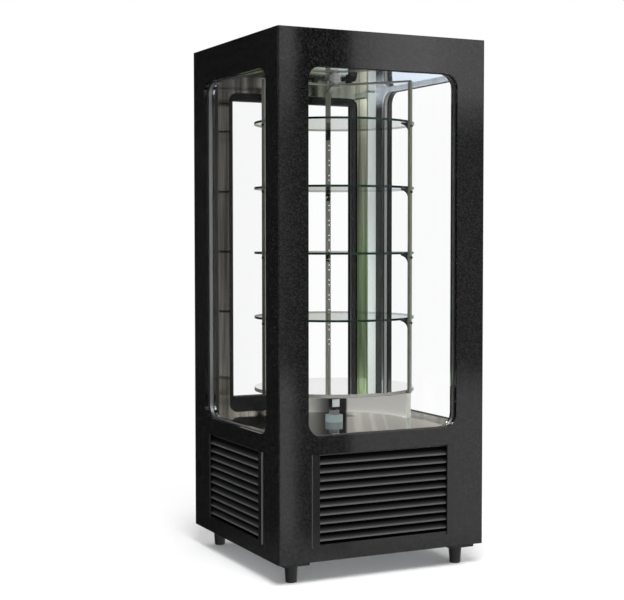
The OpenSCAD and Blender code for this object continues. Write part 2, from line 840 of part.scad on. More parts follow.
module refrigerant_pipes() color("#b9743f") {
    high = comp_top + 20;
    upper_tube = tube_z + (tube_rows - 1) * tube_pitch;
    front_row = coil_y + coil_rows[0];
    back_row = coil_y + coil_rows[1];
    // discharge line from the compressor to the condenser
    pipe([[comp_x, comp_y, comp_top], [comp_x, comp_y, high], [comp_x, front_row, high],
          [coil_end + 12, front_row, high], [coil_end + 12, front_row, upper_tube],
          [coil_end, front_row, upper_tube]], pipe_d);
    // liquid line from the condenser to the drier
    pipe([[coil_end, back_row, tube_z], [coil_end + 22, back_row, tube_z],
          [coil_end + 22, back_row, tray_top + 8], [coil_end + 22, drier_p.y, tray_top + 8],
          [coil_end + 22, drier_p.y, drier_p.z], drier_p], pipe_d);
    // line from the drier into the evaporator tub
    pipe([drier_p + [drier_l, 0, 0], drier_p + [drier_l + 26, 0, 0],
          [drier_p.x + drier_l + 26, drier_p.y, tub_a.z]], pipe_d);
    // suction line from the tub back to the compressor
    pipe([[comp_x, tub_a.y + 54, tub_a.z], [comp_x, tub_a.y + 54, tray_top + 80],
          [comp_x, comp_y + compressor_d / 2 + seat, tray_top + 80]], pipe_d);
}

module drain_pan() color("#2f3235")
    difference() {
        block(pan_a, pan_b);
        block(pan_a + [pan_wall, pan_wall, pan_wall], pan_b + [-pan_wall, -pan_wall, 1]);
    }

// Electrics
module electrical_box() color("#8f9497")
    difference() {
        translate(box_a) cube(box_size);
        translate(box_a + [box_wall, box_wall, box_wall])
            cube(box_size - [2 * box_wall, 2 * box_wall, 2 * box_wall]);
    }

module control_cutout_2d()
    translate([0, switch_z]) square([control_w - 16, control_h - 14], center = true);

function switch_at(i) = switch_x[i];

module control_plate() color("#26282b")
    difference() {
        union() {
            on_wall(BACK, -2, 2) translate([0, switch_z]) rounded_rect(control_w, control_h, 6);
            on_wall(BACK, -eps, 26 + eps)
                translate([0, switch_z]) square([control_w - 18, control_h - 16], center = true);
        }
        // display window of the thermostat and its three keys
        on_wall(BACK, -3, 4) translate([30, switch_z]) rounded_rect(64, 26, 3);
        for (i = [0, 1])
            on_wall(BACK, -3, 17)
                translate([switch_at(i), switch_z])
                    square([switch_size.x + 2 * seat, switch_size.y + 3 * seat], center = true);
    }

// Rocker in its off position, tilted about a level pin
module rocker(i)
    rotate([0, 0, 180]) translate([switch_at(i), -body_d / 2 + 3, switch_z])
        rotate([-switch_tilt, 0, 0]) rotate([0, 90, 0])
            translate([0, 0, -switch_size.x / 2]) linear_extrude(switch_size.x)
                polygon([[-switch_size.y / 2 + 0.6, -3.4], [0, -1.6], [switch_size.y / 2 - 0.6, -3.4],
                         [switch_size.y / 2 - 1.6, 4], [2.5, 8], [-2.5, 8],
                         [-switch_size.y / 2 + 1.6, 4]]);

module lamp_switch() color("#0f1011") rocker(0);
module rotation_switch() color("#0f1011") rocker(1);

module cord_gland() color("#141517")
    rotate([0, 0, 180]) translate([gland_x, -body_d / 2, gland_z]) rotate([90, 0, 0])
        rotate_extrude()
            polygon([[4, -16], [gland_thread_d / 2, -16], [gland_thread_d / 2, 0], [14, 0], [14, 2],
                     [12, 2.5], [10, 4.6], [4, 4.6]]);

// Door
module hinge_brackets() color("#4a4d50")
    for (up = [0, 1]) {
        plate_low = up == 0 ? door_open_z : door_open_top - bracket_plate;
        pin_low = up == 0 ? door_open_z + bracket_plate : door_open_top - bracket_plate - pin_len;
        block([-door_open_x, door_in_y, plate_low],
              [-door_open_x + 40, body_d / 2 - 2, plate_low + bracket_plate]);
        translate([hinge_x, hinge_y, pin_low - eps]) cylinder(d = hinge_pin_d, h = pin_len + 2 * eps);
    }

module door_frame() color("#141517")
    difference() {
        block([-door_x, door_in_y, door_z], [door_x, body_d / 2, door_top]);
        // clear opening
        block([-door_clear_w / 2, door_in_y - 1, clear_z],
              [door_clear_w / 2, body_d / 2 + 1, clear_top]);
        // groove round the sealed glass unit
        block([-door_clear_w / 2 - rebate, door_in_y + 6, clear_z - rebate],
              [door_clear_w / 2 + rebate, door_in_y + 6 + unit_t, clear_top + rebate]);
        // finger grip in the closing stile
        translate([door_x - 11 - grip_w / 2, body_d / 2 + 1, (door_z + door_top) / 2])
            rotate([90, 0, 0]) linear_extrude(grip_depth + 1) rounded_rect(grip_w, grip_h, 8);
        for (z = [door_z - 1, door_top - pin_len - 1])
            translate([hinge_x, hinge_y, z])
                cylinder(r = hinge_pin_d / 2 + running_gap, h = pin_len + 2);
    }

module door_glass() color("#dfeeea", 0.3) {
    y0 = door_in_y + 6;
    for (y = [y0, y0 + pane_t + pane_gap])
        block([-door_clear_w / 2 - rebate, y, clear_z - rebate],
              [door_clear_w / 2 + rebate, y + pane_t, clear_top + rebate]);
    // spacer bar between the panes
    difference() {
        block([-door_clear_w / 2 - rebate, y0 + pane_t, clear_z - rebate],
              [door_clear_w / 2 + rebate, y0 + pane_t + pane_gap, clear_top + rebate]);
        block([-door_clear_w / 2 - rebate + spacer_w, y0, clear_z - rebate + spacer_w],
              [door_clear_w / 2 + rebate - spacer_w, y0 + unit_t, clear_top + rebate - spacer_w]);
    }
}

module door_gasket() color("#1b1c1e") {
    out_x = front_window_w / 2 + 2 + gasket_w;
    difference() {
        block([-out_x, cell_y + lining_t + seat, window_z - 2 - gasket_w],
              [out_x, door_in_y, window_top + 2 + gasket_w]);
        block([-out_x + gasket_w, cell_y, window_z - 2],
              [out_x - gasket_w, door_in_y + 1, window_top + 2]);
    }
}

// Carousel
module at_posts() for (a = post_angles) rotate([0, 0, a]) children();

// First hole pair sits a hand's width above the turntable plate
peg_low = plate_z + 134;
peg_count = floor((arm_z - 120 - peg_low) / peg_pitch);

module carousel_posts() color("#8d8f8c")
    at_posts()
        difference() {
            block([post_in, -post_w / 2, post_low], [post_out, post_w / 2, arm_z]);
            block([post_in + post_wall, -post_w / 2 + post_wall, post_low - 1],
                  [post_out - post_wall, post_w / 2 - post_wall, arm_z + 1]);
            for (i = [0 : peg_count - 1], j = [0, 1])
                translate([post_in - 1, -peg_offset, peg_low + i * peg_pitch + j * peg_pair])
                    rotate([0, 90, 0]) cylinder(d = peg_hole_d, h = post_d + 2);
        }

module top_spider() color("#a3a5a3") {
    difference() {
        union() {
            translate([0, 0, arm_z - 4]) cylinder(d = hub_d, h = hub_top - arm_z + 4 - 0.8);
            at_posts() block([0, -post_w / 2, arm_z], [post_out, post_w / 2, arm_z + arm_t]);
        }
    }
    translate([0, 0, hub_top - 1]) cylinder(d = shaft_d, h = ceiling_z - hub_top - 4);
}

module turntable_plate() color("#d0d2d3")
    translate([0, 0, plate_z]) rotate_extrude($fn = 128)
        union() {
            square([shelf_r, plate_t]);
            translate([shelf_r - 2, -plate_rim]) square([2, plate_rim + 1]);
        }

// Bracket between a post and the glass above it, hollowed by an arc
module bracket(z) {
    length = post_in - shelf_r + bracket_reach;
    translate([post_in - length, bracket_t / 2, z]) rotate([90, 0, 0]) linear_extrude(bracket_t)
        difference() {
            rect([0, -bracket_h], [length, 0]);
            translate([-4, -bracket_h - 2]) circle(r = bracket_h - 3);
        }
    // bolt head on the outside of the post
    translate([post_out, 0, z - 12]) rotate([0, 90, 0]) cylinder(d = 9, h = 5);
}

// Glass brackets on every post, and the tabs that tie the turntable plate to the posts
module shelf_brackets() color("#161718")
    at_posts() {
        // tab between the plate's rim and the post
        block([shelf_r, -post_w / 2, plate_z - plate_rim], [post_in, post_w / 2, plate_z]);
        for (i = [0 : shelf_count - 1]) bracket(shelf_z0 + i * shelf_pitch);
    }

module glass_shelf(i) color("#cfe6dd", 0.45)
    translate([0, 0, shelf_z0 + i * shelf_pitch]) cylinder(r = shelf_r, h = shelf_t, $fn = 128);

module glass_shelf_1() glass_shelf(0);
module glass_shelf_2() glass_shelf(1);
module glass_shelf_3() glass_shelf(2);
module glass_shelf_4() glass_shelf(3);

front_panel();
left_panel();
right_panel();
back_panel();
top_panel();
base_tray();
corner_posts();
floor_deck();
ceiling_deck();
floor_tray();
ceiling_lining();
lining_frames();
glazing_rings();
front_glass();
left_glass();
right_glass();
front_louvre();
left_louvre();
right_louvre();
back_louvre();
feet();
foot_plates();
lamp_strips();
ceiling_bearing();
ceiling_probe();
pedestal();
gearmotor();
air_baffle();
evaporator_tub();
evaporator_coil();
evaporator_fan_motor();
evaporator_fan();
compressor();
compressor_feet();
condenser_coil();
fan_shroud();
condenser_fan_motor();
condenser_fan();
filter_drier();
refrigerant_pipes();
drain_pan();
electrical_box();
control_plate();
lamp_switch();
rotation_switch();
cord_gland();
hinge_brackets();
door_frame();
door_glass();
door_gasket();
carousel_posts();
top_spider();
drive_shaft();
turntable_plate();
shelf_brackets();
glass_shelf_1();
glass_shelf_2();
glass_shelf_3();
glass_shelf_4();
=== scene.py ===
"""Finishes and small fittings for a refrigerated pastry case with a rotating carousel."""

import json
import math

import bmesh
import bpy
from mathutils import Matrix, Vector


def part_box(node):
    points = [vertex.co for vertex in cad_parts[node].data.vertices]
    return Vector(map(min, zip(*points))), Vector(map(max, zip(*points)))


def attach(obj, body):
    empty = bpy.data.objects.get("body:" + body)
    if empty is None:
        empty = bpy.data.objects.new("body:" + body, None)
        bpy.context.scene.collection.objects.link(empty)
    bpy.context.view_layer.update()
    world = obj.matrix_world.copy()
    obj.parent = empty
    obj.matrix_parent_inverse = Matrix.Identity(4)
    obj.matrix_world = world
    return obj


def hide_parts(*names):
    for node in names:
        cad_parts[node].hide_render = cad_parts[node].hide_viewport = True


bl_info = {
    "name": "Rotating pastry case",
    "version": (1, 0, 0),
    "blender": (4, 5, 0),
    "location": "3D View > Sidebar > Pastry case",
    "description": "Dresses the case in its finishes, fittings and studio",
    "category": "Object",
}

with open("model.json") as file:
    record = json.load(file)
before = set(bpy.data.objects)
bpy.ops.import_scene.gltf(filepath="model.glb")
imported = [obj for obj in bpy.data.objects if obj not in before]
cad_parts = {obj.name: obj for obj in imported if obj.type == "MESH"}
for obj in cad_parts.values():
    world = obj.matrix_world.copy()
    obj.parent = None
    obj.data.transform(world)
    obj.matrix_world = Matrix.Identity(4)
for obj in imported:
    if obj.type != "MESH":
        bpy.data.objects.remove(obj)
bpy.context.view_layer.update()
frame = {"nodes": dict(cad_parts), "record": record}

MM = 0.001
NODES = frame["nodes"]
COATED = ("front_panel", "left_panel", "right_panel", "back_panel", "top_panel")
LOUVRES = ("front_louvre", "left_louvre", "right_louvre", "back_louvre")
WINDOWS = ("front_glass", "left_glass", "right_glass", "door_glass")
SHELVES = ("glass_shelf_1", "glass_shelf_2", "glass_shelf_3", "glass_shelf_4")
BODIES = frame["record"]["behaviour"]["bodies"]
BODY_OF = {node: body for body, nodes in BODIES.items() for node in nodes}

# Measures of the part's source that no box of a node gives
OVERLAP = 18 * MM             # from the edge of a window opening to the edge of its glass
WINDOW_CORNER = 48 * MM       # corner radius of the window openings
DRIVE_FRONT = -14.8 * MM      # just behind the front face of the drive block
# the drive's finish includes a painted highlight and a painted glow
DRIVE_RISE = 70 * MM          # height over the pedestal on which the drive's finish is laid out

# Where the polished lining changes its colour, from the case's middle and from the floor, and its colours,
# which are painted reflections of the room, with painted shade in the back corners and a painted glow round
# the right window
SIDE_WALL = (352 * MM, 354 * MM)
BACK_CORNER = (284 * MM, 288 * MM)
LINING_CHANGE = (1050 * MM, 1400 * MM)
LINING = {
    "left": (0.52, 0.49, 0.44), "upper": (0.52, 0.54, 0.42), "lower": (0.52, 0.70, 0.38),
    "side": (0.74, 0.79, 0.86), "corner": (0.035, 0.037, 0.033),
    "head": (0.72, 0.78, 0.86), "sill": (0.34, 0.33, 0.31)}

# The painted reflections on the floor tray, as straight lines: their direction in degrees, then how far
# across each is and how bright
LINES_TURN = 26.4
TRAY_REFLECTIONS = (
    (-0.30, 0.9), (-0.12, 0.10), (-0.06, 0.08), (-0.03, 0.25), (0.02, 0.4), (0.045, 0.95), (0.055, 0.78),
    (0.066, 0.85), (0.080, 1.5), (0.098, 1.5), (0.108, 1.05), (0.132, 1.0), (0.137, 1.5), (0.149, 1.45),
    (0.156, 1.0), (0.182, 0.9), (0.186, 1.2), (0.191, 1.2), (0.198, 0.85), (0.300, 0.82), (0.360, 1.3))

# Painted shade on the baffle behind the drive, by degrees from the right
BAFFLE_SHADE = ((0, 1.0), (53.2, 1.0), (54.6, 0.03), (66, 0.05), (72, 0.22), (77, 0.55), (83, 0.85))

# The camera, fitted to the edges of the case: its place, its degrees down and to the right, its side shift
EYE = (-2.2778, -4.57315, 1.17047)
EYE_DOWN = 2.5853
EYE_RIGHT = 26.4476
EYE_SHIFT = -0.0343

# The lamps: place, width, share of the key light's power, and whether polished faces mirror it
LAMPS = {
    "key": ((-1.0, -3.6, 5.4), 2.6, 1.0, True),
    "side": ((3.6, -1.6, 4.4), 2.2, 0.3, True),
    "back": ((-1.0, 4.0, 4.4), 2.4, 0.3, True),
    "low": ((-2.9, -4.6, 1.3), 2.0, 0.12, False)}

# The room that polished faces mirror, from the floor up. Each level has the heights over which it takes
# over from the one below, and its colours by the share of a turn from the back over the left. A single number
# is a grey. The garden lies low behind the right, and the opening left of the back. The front faces mirror
# the front span.
FRONT_SPAN = (0.55, 0.60)
GARDEN = (
    (0.880, (0.95, 1.02, 1.15)), (0.921, (0.92, 1.02, 1.20)), (0.926, (0.22, 0.26, 0.12)),
    (0.960, (0.10, 0.09, 0.06)))
OPENING = (
    (0.0, 0.05), (0.070, 0.02), (0.078, (0.66, 0.70, 0.76)), (0.095, (0.78, 0.83, 0.88)), (0.120, 0.10),
    (0.200, 0.10))
HEAD_HIGH = (
    (0.360, 0.45), (0.500, 0.30), (0.5600, 0.12), (0.5668, 0.95), (0.5678, 0.90), (0.5685, 1.20),
    (0.5690, 0.40), (0.5696, 0.07), (0.5750, 0.12), (0.5762, 1.30), (0.5795, 1.85), (0.5840, 2.00),
    (0.5870, 1.60), (0.5920, 1.50), (0.6100, 0.60), (0.700, 0.55), (0.830, (0.30, 0.38, 0.24)),
    (0.890, (0.85, 0.86, 0.88)), (0.905, 0.93), (0.950, 0.93), (0.970, (0.40, 0.40, 0.36)))
ROOM = (
    ((-1.0, -0.5), (
        (0.0, 0.05), (0.090, 0.10), (0.200, 0.08), (0.360, 0.40), (0.550, 0.60), (0.5670, 0.75),
        (0.5900, 0.70), (0.700, 0.50), *GARDEN)),
    ((-0.225, -0.205), (
        (0.0, 0.05), (0.050, 0.02), (0.090, 0.05), (0.200, 0.08), (0.360, 0.40), (0.500, 0.30),
        (0.5655, 0.10), (0.5668, 0.90), (0.5672, 1.20), (0.5686, 1.15), (0.5694, 0.30), (0.5700, 0.24),
        (0.5750, 0.24), (0.5760, 0.95), (0.590, 1.05), (0.700, 0.50), *GARDEN)),
    ((-0.112, -0.088), (
        (0.0, 0.05), (0.050, 0.04), (0.090, 0.04), (0.200, 0.10), (0.360, 0.45), (0.500, 0.30),
        (0.5600, 0.10), (0.5668, 0.60), (0.5673, 0.45), (0.5690, 0.28), (0.5700, 0.22), (0.5750, 0.22),
        (0.5770, 0.33), (0.590, 0.33), (0.600, 0.40), (0.700, 0.55), (0.830, (0.30, 0.38, 0.24)),
        (0.890, (0.75, 0.80, 0.86)), (0.921, (0.70, 0.72, 0.76)), (0.928, (0.45, 0.47, 0.40)),
        (0.960, (0.30, 0.30, 0.26)))),
    ((0.070, 0.112), ((0.0, 0.05), (0.050, 0.015), (0.090, 0.03), (0.200, 0.10), *HEAD_HIGH)),
    ((0.092, 0.106), (*OPENING, *HEAD_HIGH)),
    ((0.116, 0.126), (
        *OPENING, (0.360, 0.45), (0.500, 0.30), (0.5600, 0.12), (0.5668, 1.20), (0.5678, 1.00),
        (0.5686, 1.60), (0.5690, 0.60), (0.5696, 0.10), (0.5750, 0.14), (0.5760, 1.20), (0.5795, 1.75),
        (0.5840, 2.00), (0.5870, 1.65), (0.5920, 1.50), (0.6100, 0.60), (0.700, 0.55),
        (0.830, (0.30, 0.34, 0.26)), (0.890, (0.42, 0.39, 0.34)), (0.950, (0.36, 0.33, 0.29)),
        (0.970, 0.20))))


def ramp_place(share):
    """Where a share of a turn lies on the ramps, which give half of their length to the front span."""
    low, high = FRONT_SPAN
    return 0.5 * share + 0.5 * min(max((share - low) / (high - low), 0.0), 1.0)


# Shader building

class NodeWriter:
    """Short calls that add nodes to a node tree."""

    prefix = ""

    def node(self, kind, **values):
        """A node with settings and input values by name."""
        made = self.tree.nodes.new(self.prefix + kind)
        for key, value in values.items():
            if hasattr(made, key):
                setattr(made, key, value)
            else:
                made.inputs[key.replace("_", " ")].default_value = value
        return made

    def link(self, source, target):
        self.tree.links.new(source, target)


class Shader(NodeWriter):
    """A new material or world, and short calls that add its nodes."""

    prefix = "ShaderNode"

    def __init__(self, name, world=False):
        self.owner = (bpy.data.worlds if world else bpy.data.materials).new(name)
        self.owner.use_nodes = True
        self.tree = self.owner.node_tree
        self.tree.nodes.clear()
        self.output = self.node("OutputWorld" if world else "OutputMaterial")

    def feed(self, socket, value):
        """Links a socket, or sets a number or a colour on it."""
        if isinstance(value, bpy.types.NodeSocket):
            self.link(value, socket)
        elif isinstance(value, tuple):
            socket.default_value = (*value, 1)
        else:
            socket.default_value = value

    def place(self, scale=(1, 1, 1), turn=(0, 0, 0)):
        """Object coordinates, scaled and turned about the piece's own origin."""
        where = self.node("TexCoord")
        mapping = self.node("Mapping", Scale=scale, Rotation=turn)
        self.link(where.outputs["Object"], mapping.inputs["Vector"])
        return mapping.outputs["Vector"]

    def axes(self, source):
        """The parts X, Y and Z of a place or a direction."""
        made = self.node("SeparateXYZ")
        self.link(source, made.inputs["Vector"])
        return made.outputs

    def facing(self):
        """The parts X, Y and Z of the way that a face looks."""
        return self.axes(self.node("NewGeometry").outputs["True Normal"])

    def level(self):
        """1 on level faces, 0 on upright ones."""
        return self.math("GREATER_THAN", self.math("ABSOLUTE", self.facing()["Z"]), 0.5)

    def noise(self, where, scale, detail=2.0, roughness=0.5):
        made = self.node("TexNoise", Scale=scale, Detail=detail, Roughness=roughness)
        self.link(where, made.inputs["Vector"])
        return made.outputs["Fac"]

    def haze(self):
        """The marks that wiping leaves on polished sheet."""
        return self.noise(self.place((40, 40, 3)), 4, 4, 0.6)

    def ramp(self, fac, *stops):
        """A colour ramp through (position, colour) stops, where one number is a grey."""
        made = self.node("ValToRGB")
        elements = made.color_ramp.elements
        elements.remove(elements[1])
        for count, (position, colour) in enumerate(stops):
            element = elements.new(position) if count else elements[0]
            element.position = position
            element.color = (*(grey(colour) if isinstance(colour, float) else colour), 1)
        self.link(fac, made.inputs["Fac"])
        return made.outputs["Color"]

    def mottle(self, fac, colour, share, low=0.3, high=0.7):
        """A colour that falls to a share of itself where fac is low."""
        return self.ramp(fac, (low, tuple(c * share for c in colour)), (high, colour))

    def span(self, fac, low, high, from_low=0.0, from_high=1.0):
        """fac spread over low to high."""
        made = self.node("MapRange", From_Min=from_low, From_Max=from_high, To_Min=low, To_Max=high)
        self.link(fac, made.inputs["Value"])
        return made.outputs["Result"]

    def math(self, operation, *values):
        made = self.node("Math", operation=operation)
        for socket, value in zip(made.inputs, values):
            self.feed(socket, value)
        return made.outputs["Value"]

    def mix(self, fac, first, second, kind="MixShader", **values):
        """One shader over the other by fac."""
        made = self.node(kind, **values)
        for socket, value in zip(made.inputs, (fac, first, second)):
            self.feed(socket, value)
        return made.outputs[0]

    def blend(self, fac, first, second):
        """One colour over the other by fac."""
        return self.mix(fac, first, second, "MixRGB")

    def multiply(self, first, second, share=1.0):
        """A colour times another, by a share."""
        return self.mix(share, first, second, "MixRGB", blend_type="MULTIPLY")

    def bump(self, height, distance, strength=1.0):
        made = self.node("Bump", Strength=strength, Distance=distance)
        self.link(height, made.inputs["Height"])
        return made.outputs["Normal"]

    def principled(self, colour, roughness, normal=None, **values):
        """A Principled shader; each value may be a number, a colour or a socket."""
        made = self.node("BsdfPrincipled")
        values.update({"Base_Color": colour, "Roughness": roughness})
        if normal is not None:
            values["Normal"] = normal
        for key, value in values.items():
            self.feed(made.inputs[key.replace("_", " ")], value)
        return made.outputs["BSDF"]

    def surface(self, shader):
        """The finished material or world."""
        self.link(shader, self.output.inputs["Surface"])
        return self.owner

    def finished(self, *values, **named):
        """The material on one Principled shader."""
        return self.surface(self.principled(*values, **named))

    def seen(self):
        """1 for what the eye sees, straight or through glass."""
        paths = self.node("LightPath").outputs
        return self.math("MAXIMUM", paths["Is Camera Ray"], paths["Is Transmission Ray"])


def grey(value):
    """A colour without a hue."""
    return (value, value, value)


def speckled_coat(name, base, fleck, roughness):
    """Black textured coat with pale flecks under a glossy clear layer."""
    s = Shader(name)
    where = s.place()
    grains = s.node("TexVoronoi", Scale=230.0)
    s.link(where, grains.inputs["Vector"])
    each = s.node("SeparateColor")
    s.link(grains.outputs["Color"], each.inputs["Color"])
    grain = each.outputs["Red"]
    flecks = s.ramp(grain, (0.25, base), (1.0, tuple(c * 1.2 for c in fleck)))
    cloud = s.ramp(s.noise(where, 9, 3), (0.3, 0.75), (0.7, 1.15))
    skin = s.noise(where, 420, 2)
    return s.finished(
        s.multiply(flecks, cloud, 0.35), s.span(grain, roughness, roughness + 0.14),
        s.bump(skin, 0.0003, 0.12), Specular_IOR_Level=0.0, Coat_Weight=1.0, Coat_Roughness=0.03,
        Coat_Normal=s.bump(skin, 0.0003, 0.03))


def smooth_coat(name, colour, roughness):
    """Plain satin paint with a faint orange-peel."""
    s = Shader(name)
    where = s.place()
    cloud = s.noise(where, 14, 3)
    return s.finished(
        s.mottle(cloud, colour, 0.8), s.span(cloud, roughness - 0.04, roughness + 0.06, 0.3, 0.7),
        s.bump(s.noise(where, 260, 2), 0.0003, 0.25))


def slat_paint(name, colour, top, pitch, axis, inner):
    """Black paint of a louvre, with painted light on its slats. They hang below top, with a painted highlight
    on each nose and painted shade where a slat runs up and in. Its side channels, further out than inner
    along the axis, are plain and glossy, with a painted highlight on their flanks."""
    s = Shader(name)
    at = s.axes(s.place())
    share = s.math("FLOORED_MODULO", s.math("DIVIDE", s.math("SUBTRACT", top, at["Z"]), pitch), 1.0)
    # painted shade and painted highlight on each slat: dark where it runs up and in, bright on its nose
    shade = s.ramp(share, (0.0, 0.02), (0.35, 0.10), (0.60, 0.45), (0.76, 1.1), (0.85, 4.8), (0.93, 4.0),
                   (0.97, 1.2), (1.0, 0.3))
    shine = s.ramp(share, (0.35, 0.02), (0.60, 0.16), (0.80, 0.5))
    aside = s.math("GREATER_THAN", s.math("ABSOLUTE", at[axis]), inner)
    # painted highlight on the flanks of the side channels
    outward = s.math("MULTIPLY", at[axis], s.facing()[axis])
    flank_highlight = s.math("MULTIPLY", aside, s.math("GREATER_THAN", outward, 0.3 * inner))
    tone = s.blend(flank_highlight, s.blend(aside, shade, grey(0.3)), grey(5.0))
    sheen = s.math("MULTIPLY", shine, s.math("SUBTRACT", 1.0, aside))
    return s.finished(
        s.multiply(tone, colour), 0.42, Specular_IOR_Level=sheen, Coat_Weight=aside, Coat_Roughness=0.08)


def polished_steel(name, colour, roughness, ripple=0.12):
    """Mirror-polished sheet, very slightly wavy, with a haze of wiping marks."""
    s = Shader(name)
    wave = s.noise(s.place(), 3.2, 1)
    return s.finished(
        colour, s.span(s.haze(), roughness, roughness + 0.07, 0.35, 0.75), s.bump(wave, 0.004, ripple),
        Metallic=1.0)


def mirrored_lining(name, foot, top, left, upper, lower, side, corner, head, sill):
    """Polished wall sheet with upright streaks, and with painted reflections of the room in its colours. The
    front and back walls are of another colour left of the middle, and change up the cell right of it. The
    side walls have the colour side, and the back corners have a dark painted shade. Over and under the right
    window, which is open from foot to top, the sheet has the colours head and sill and a satin face with a
    painted glow."""
    s = Shader(name)
    at = s.axes(s.place())
    streak = s.noise(s.place((1, 1, 0.03)), 26, 3, 0.6)
    shade = s.ramp(streak, (0.36, 0.35), (0.50, 0.85), (0.62, 1.25))
    rightward = s.math("GREATER_THAN", at["X"], 0.0)
    # painted reflections: the sheet's colour changes by place to stand in for the room it mirrors
    plain = s.blend(rightward, left, s.blend(s.span(at["Z"], 0.0, 1.0, *LINING_CHANGE), lower, upper))
    walls = s.span(s.math("ABSOLUTE", at["X"]), 0.0, 1.0, *SIDE_WALL)
    # painted shade: the back corners take the dark colour
    rear = s.math("MULTIPLY", walls, s.span(at["Y"], 0.0, 1.0, *BACK_CORNER))
    sheet = s.multiply(s.blend(rear, s.blend(walls, plain, side), corner), shade)
    # painted glow: the bands over and under the right window glow by emission
    over = s.span(at["Z"], 0.0, 1.0, top - 60 * MM, top)
    under = s.span(at["Z"], 1.0, 0.0, foot - 2 * MM, foot)
    glow_band = s.math("MULTIPLY", s.math("MULTIPLY", walls, rightward), s.math("MAXIMUM", over, under))
    satin = s.blend(under, head, sill)
    return s.finished(
        s.blend(glow_band, sheet, s.multiply(satin, shade, 0.4)), s.span(glow_band, 0.06, 0.3),
        s.bump(streak, 0.002, 0.05), Metallic=s.math("SUBTRACT", 1.0, glow_band), Emission_Color=satin,
        Emission_Strength=s.math("MULTIPLY", glow_band, 0.22))


def tray_steel(name, colour, lines):
    """Polished sheet with painted reflections: straight lines at (offset, brightness) that stand in for what
    it would mirror behind it.
    """
    s = Shader(name)
    reach = 400 * MM
    at = s.axes(s.place(turn=(0, 0, math.radians(LINES_TURN))))
    across = s.span(at["X"], 0.0, 1.0, -reach, reach)
    # painted reflection: bright and dark lines drawn across the sheet
    drawn = s.ramp(across, *(((offset + reach) / (2 * reach), bright) for offset, bright in lines))
    return s.finished(s.multiply(drawn, colour), s.span(s.haze(), 0.05, 0.12, 0.35, 0.75), Metallic=1.0)


def brushed_metal(name, colour, roughness, along=(1, 1, 60)):
    """Metal with fine lines; the lines run across the stretched axis."""
    s = Shader(name)
    lines = s.noise(s.place(along), 18, 4, 0.65)
    return s.finished(
        s.mottle(lines, colour, 0.82), s.span(lines, roughness - 0.08, roughness + 0.1, 0.3, 0.7),
        s.bump(lines, 0.0002, 0.2), Metallic=1.0)


def moulded(name, colour, roughness, grain=700):
    """Moulded plastic or rubber with a fine grain."""
    s = Shader(name)
    where = s.place()
    cloud = s.noise(where, 20, 2)
    return s.finished(
        s.mottle(cloud, colour, 0.75, 0.35), s.span(cloud, roughness - 0.05, roughness + 0.08, 0.3, 0.7),
        s.bump(s.noise(where, grain, 2), 0.0003, 0.3))


def mirrored_film(s, tint, mirror, ior):
    """Shader output of clear glass that doesn't bend light and mirrors on the side that light enters."""
    through = s.node("BsdfTransparent", Color=(*tint, 1))
    shine = s.node("BsdfGlossy", Color=(*grey(mirror), 1), Roughness=0.0)
    edge = s.node("Fresnel", IOR=ior)
    entering = s.math("SUBTRACT", 1.0, s.node("NewGeometry").outputs["Backfacing"])
    share = s.math("MULTIPLY", edge.outputs["Fac"], entering)
    return s.mix(share, through.outputs["BSDF"], shine.outputs["BSDF"])


def clear_pane(name, tint, mirror):
    """Flat window glass."""
    s = Shader(name)
    return s.surface(mirrored_film(s, tint, mirror, 1.2))


def shelf_glass(name, tint, edge_tint):
    """Round glass shelf: almost clear on its faces, dark green along its rim."""
    s = Shader(name)
    streak = s.noise(s.place((6, 6, 0.5)), 9, 2)
    rim = s.principled(s.mottle(streak, edge_tint, 0.45, 0.35), 0.12)
    return s.surface(s.mix(s.level(), rim, mirrored_film(s, tint, 0.9, 1.5)))


def turntable_steel(name, top, rim):
    """Mirror-polished on its flat faces, plain satin round its rim."""
    s = Shader(name)
    haze = s.noise(s.place(), 14, 3)
    mirror = s.principled(top, s.span(haze, 0.02, 0.05), Metallic=1.0)
    satin = s.principled(s.mottle(haze, rim, 0.9), 0.4)
    return s.surface(s.mix(s.level(), satin, mirror))


def lamp_cover(name, colour, dim, glow):
    """Ribbed lamp diffuser, glowing a little on the right-hand side of the cell. On its left it takes the
    dark colour dim, a painted shade in place of the diffuser's own pale colour.
    """
    s = Shader(name)
    where = s.place()
    ribs = s.node("TexWave", Scale=90.0, bands_direction="X")
    s.link(where, ribs.inputs["Vector"])
    lit = s.math("GREATER_THAN", s.axes(where)["X"], 0.0)
    # painted shade: the left strips are dark
    tone = s.blend(lit, dim, colour)
    return s.finished(
        tone, 0.3, s.bump(ribs.outputs["Fac"], 0.0004, 0.4),
        Emission_Color=tone, Emission_Strength=s.math("MULTIPLY", lit, glow))


def glowing_enamel(name, colour, glow, stops=()):
    """Satin enamel with a painted glow in place of the cell's own light. Stops of (degrees, brightness) paint
    shade on it by the angle round the upright axis, from the right over the back to the left."""
    s = Shader(name)
    tone = colour
    if stops:
        at = s.axes(s.place())
        angle = s.span(s.math("ARCTAN2", at["Y"], at["X"]), 0.0, 1.0, 0.0, math.pi)
        tone = s.multiply(s.ramp(angle, *((degrees / 180, bright) for degrees, bright in stops)), colour)
    # the emission is a painted glow; this part is no lamp
    return s.finished(tone, 0.3, Emission_Color=tone, Emission_Strength=glow)


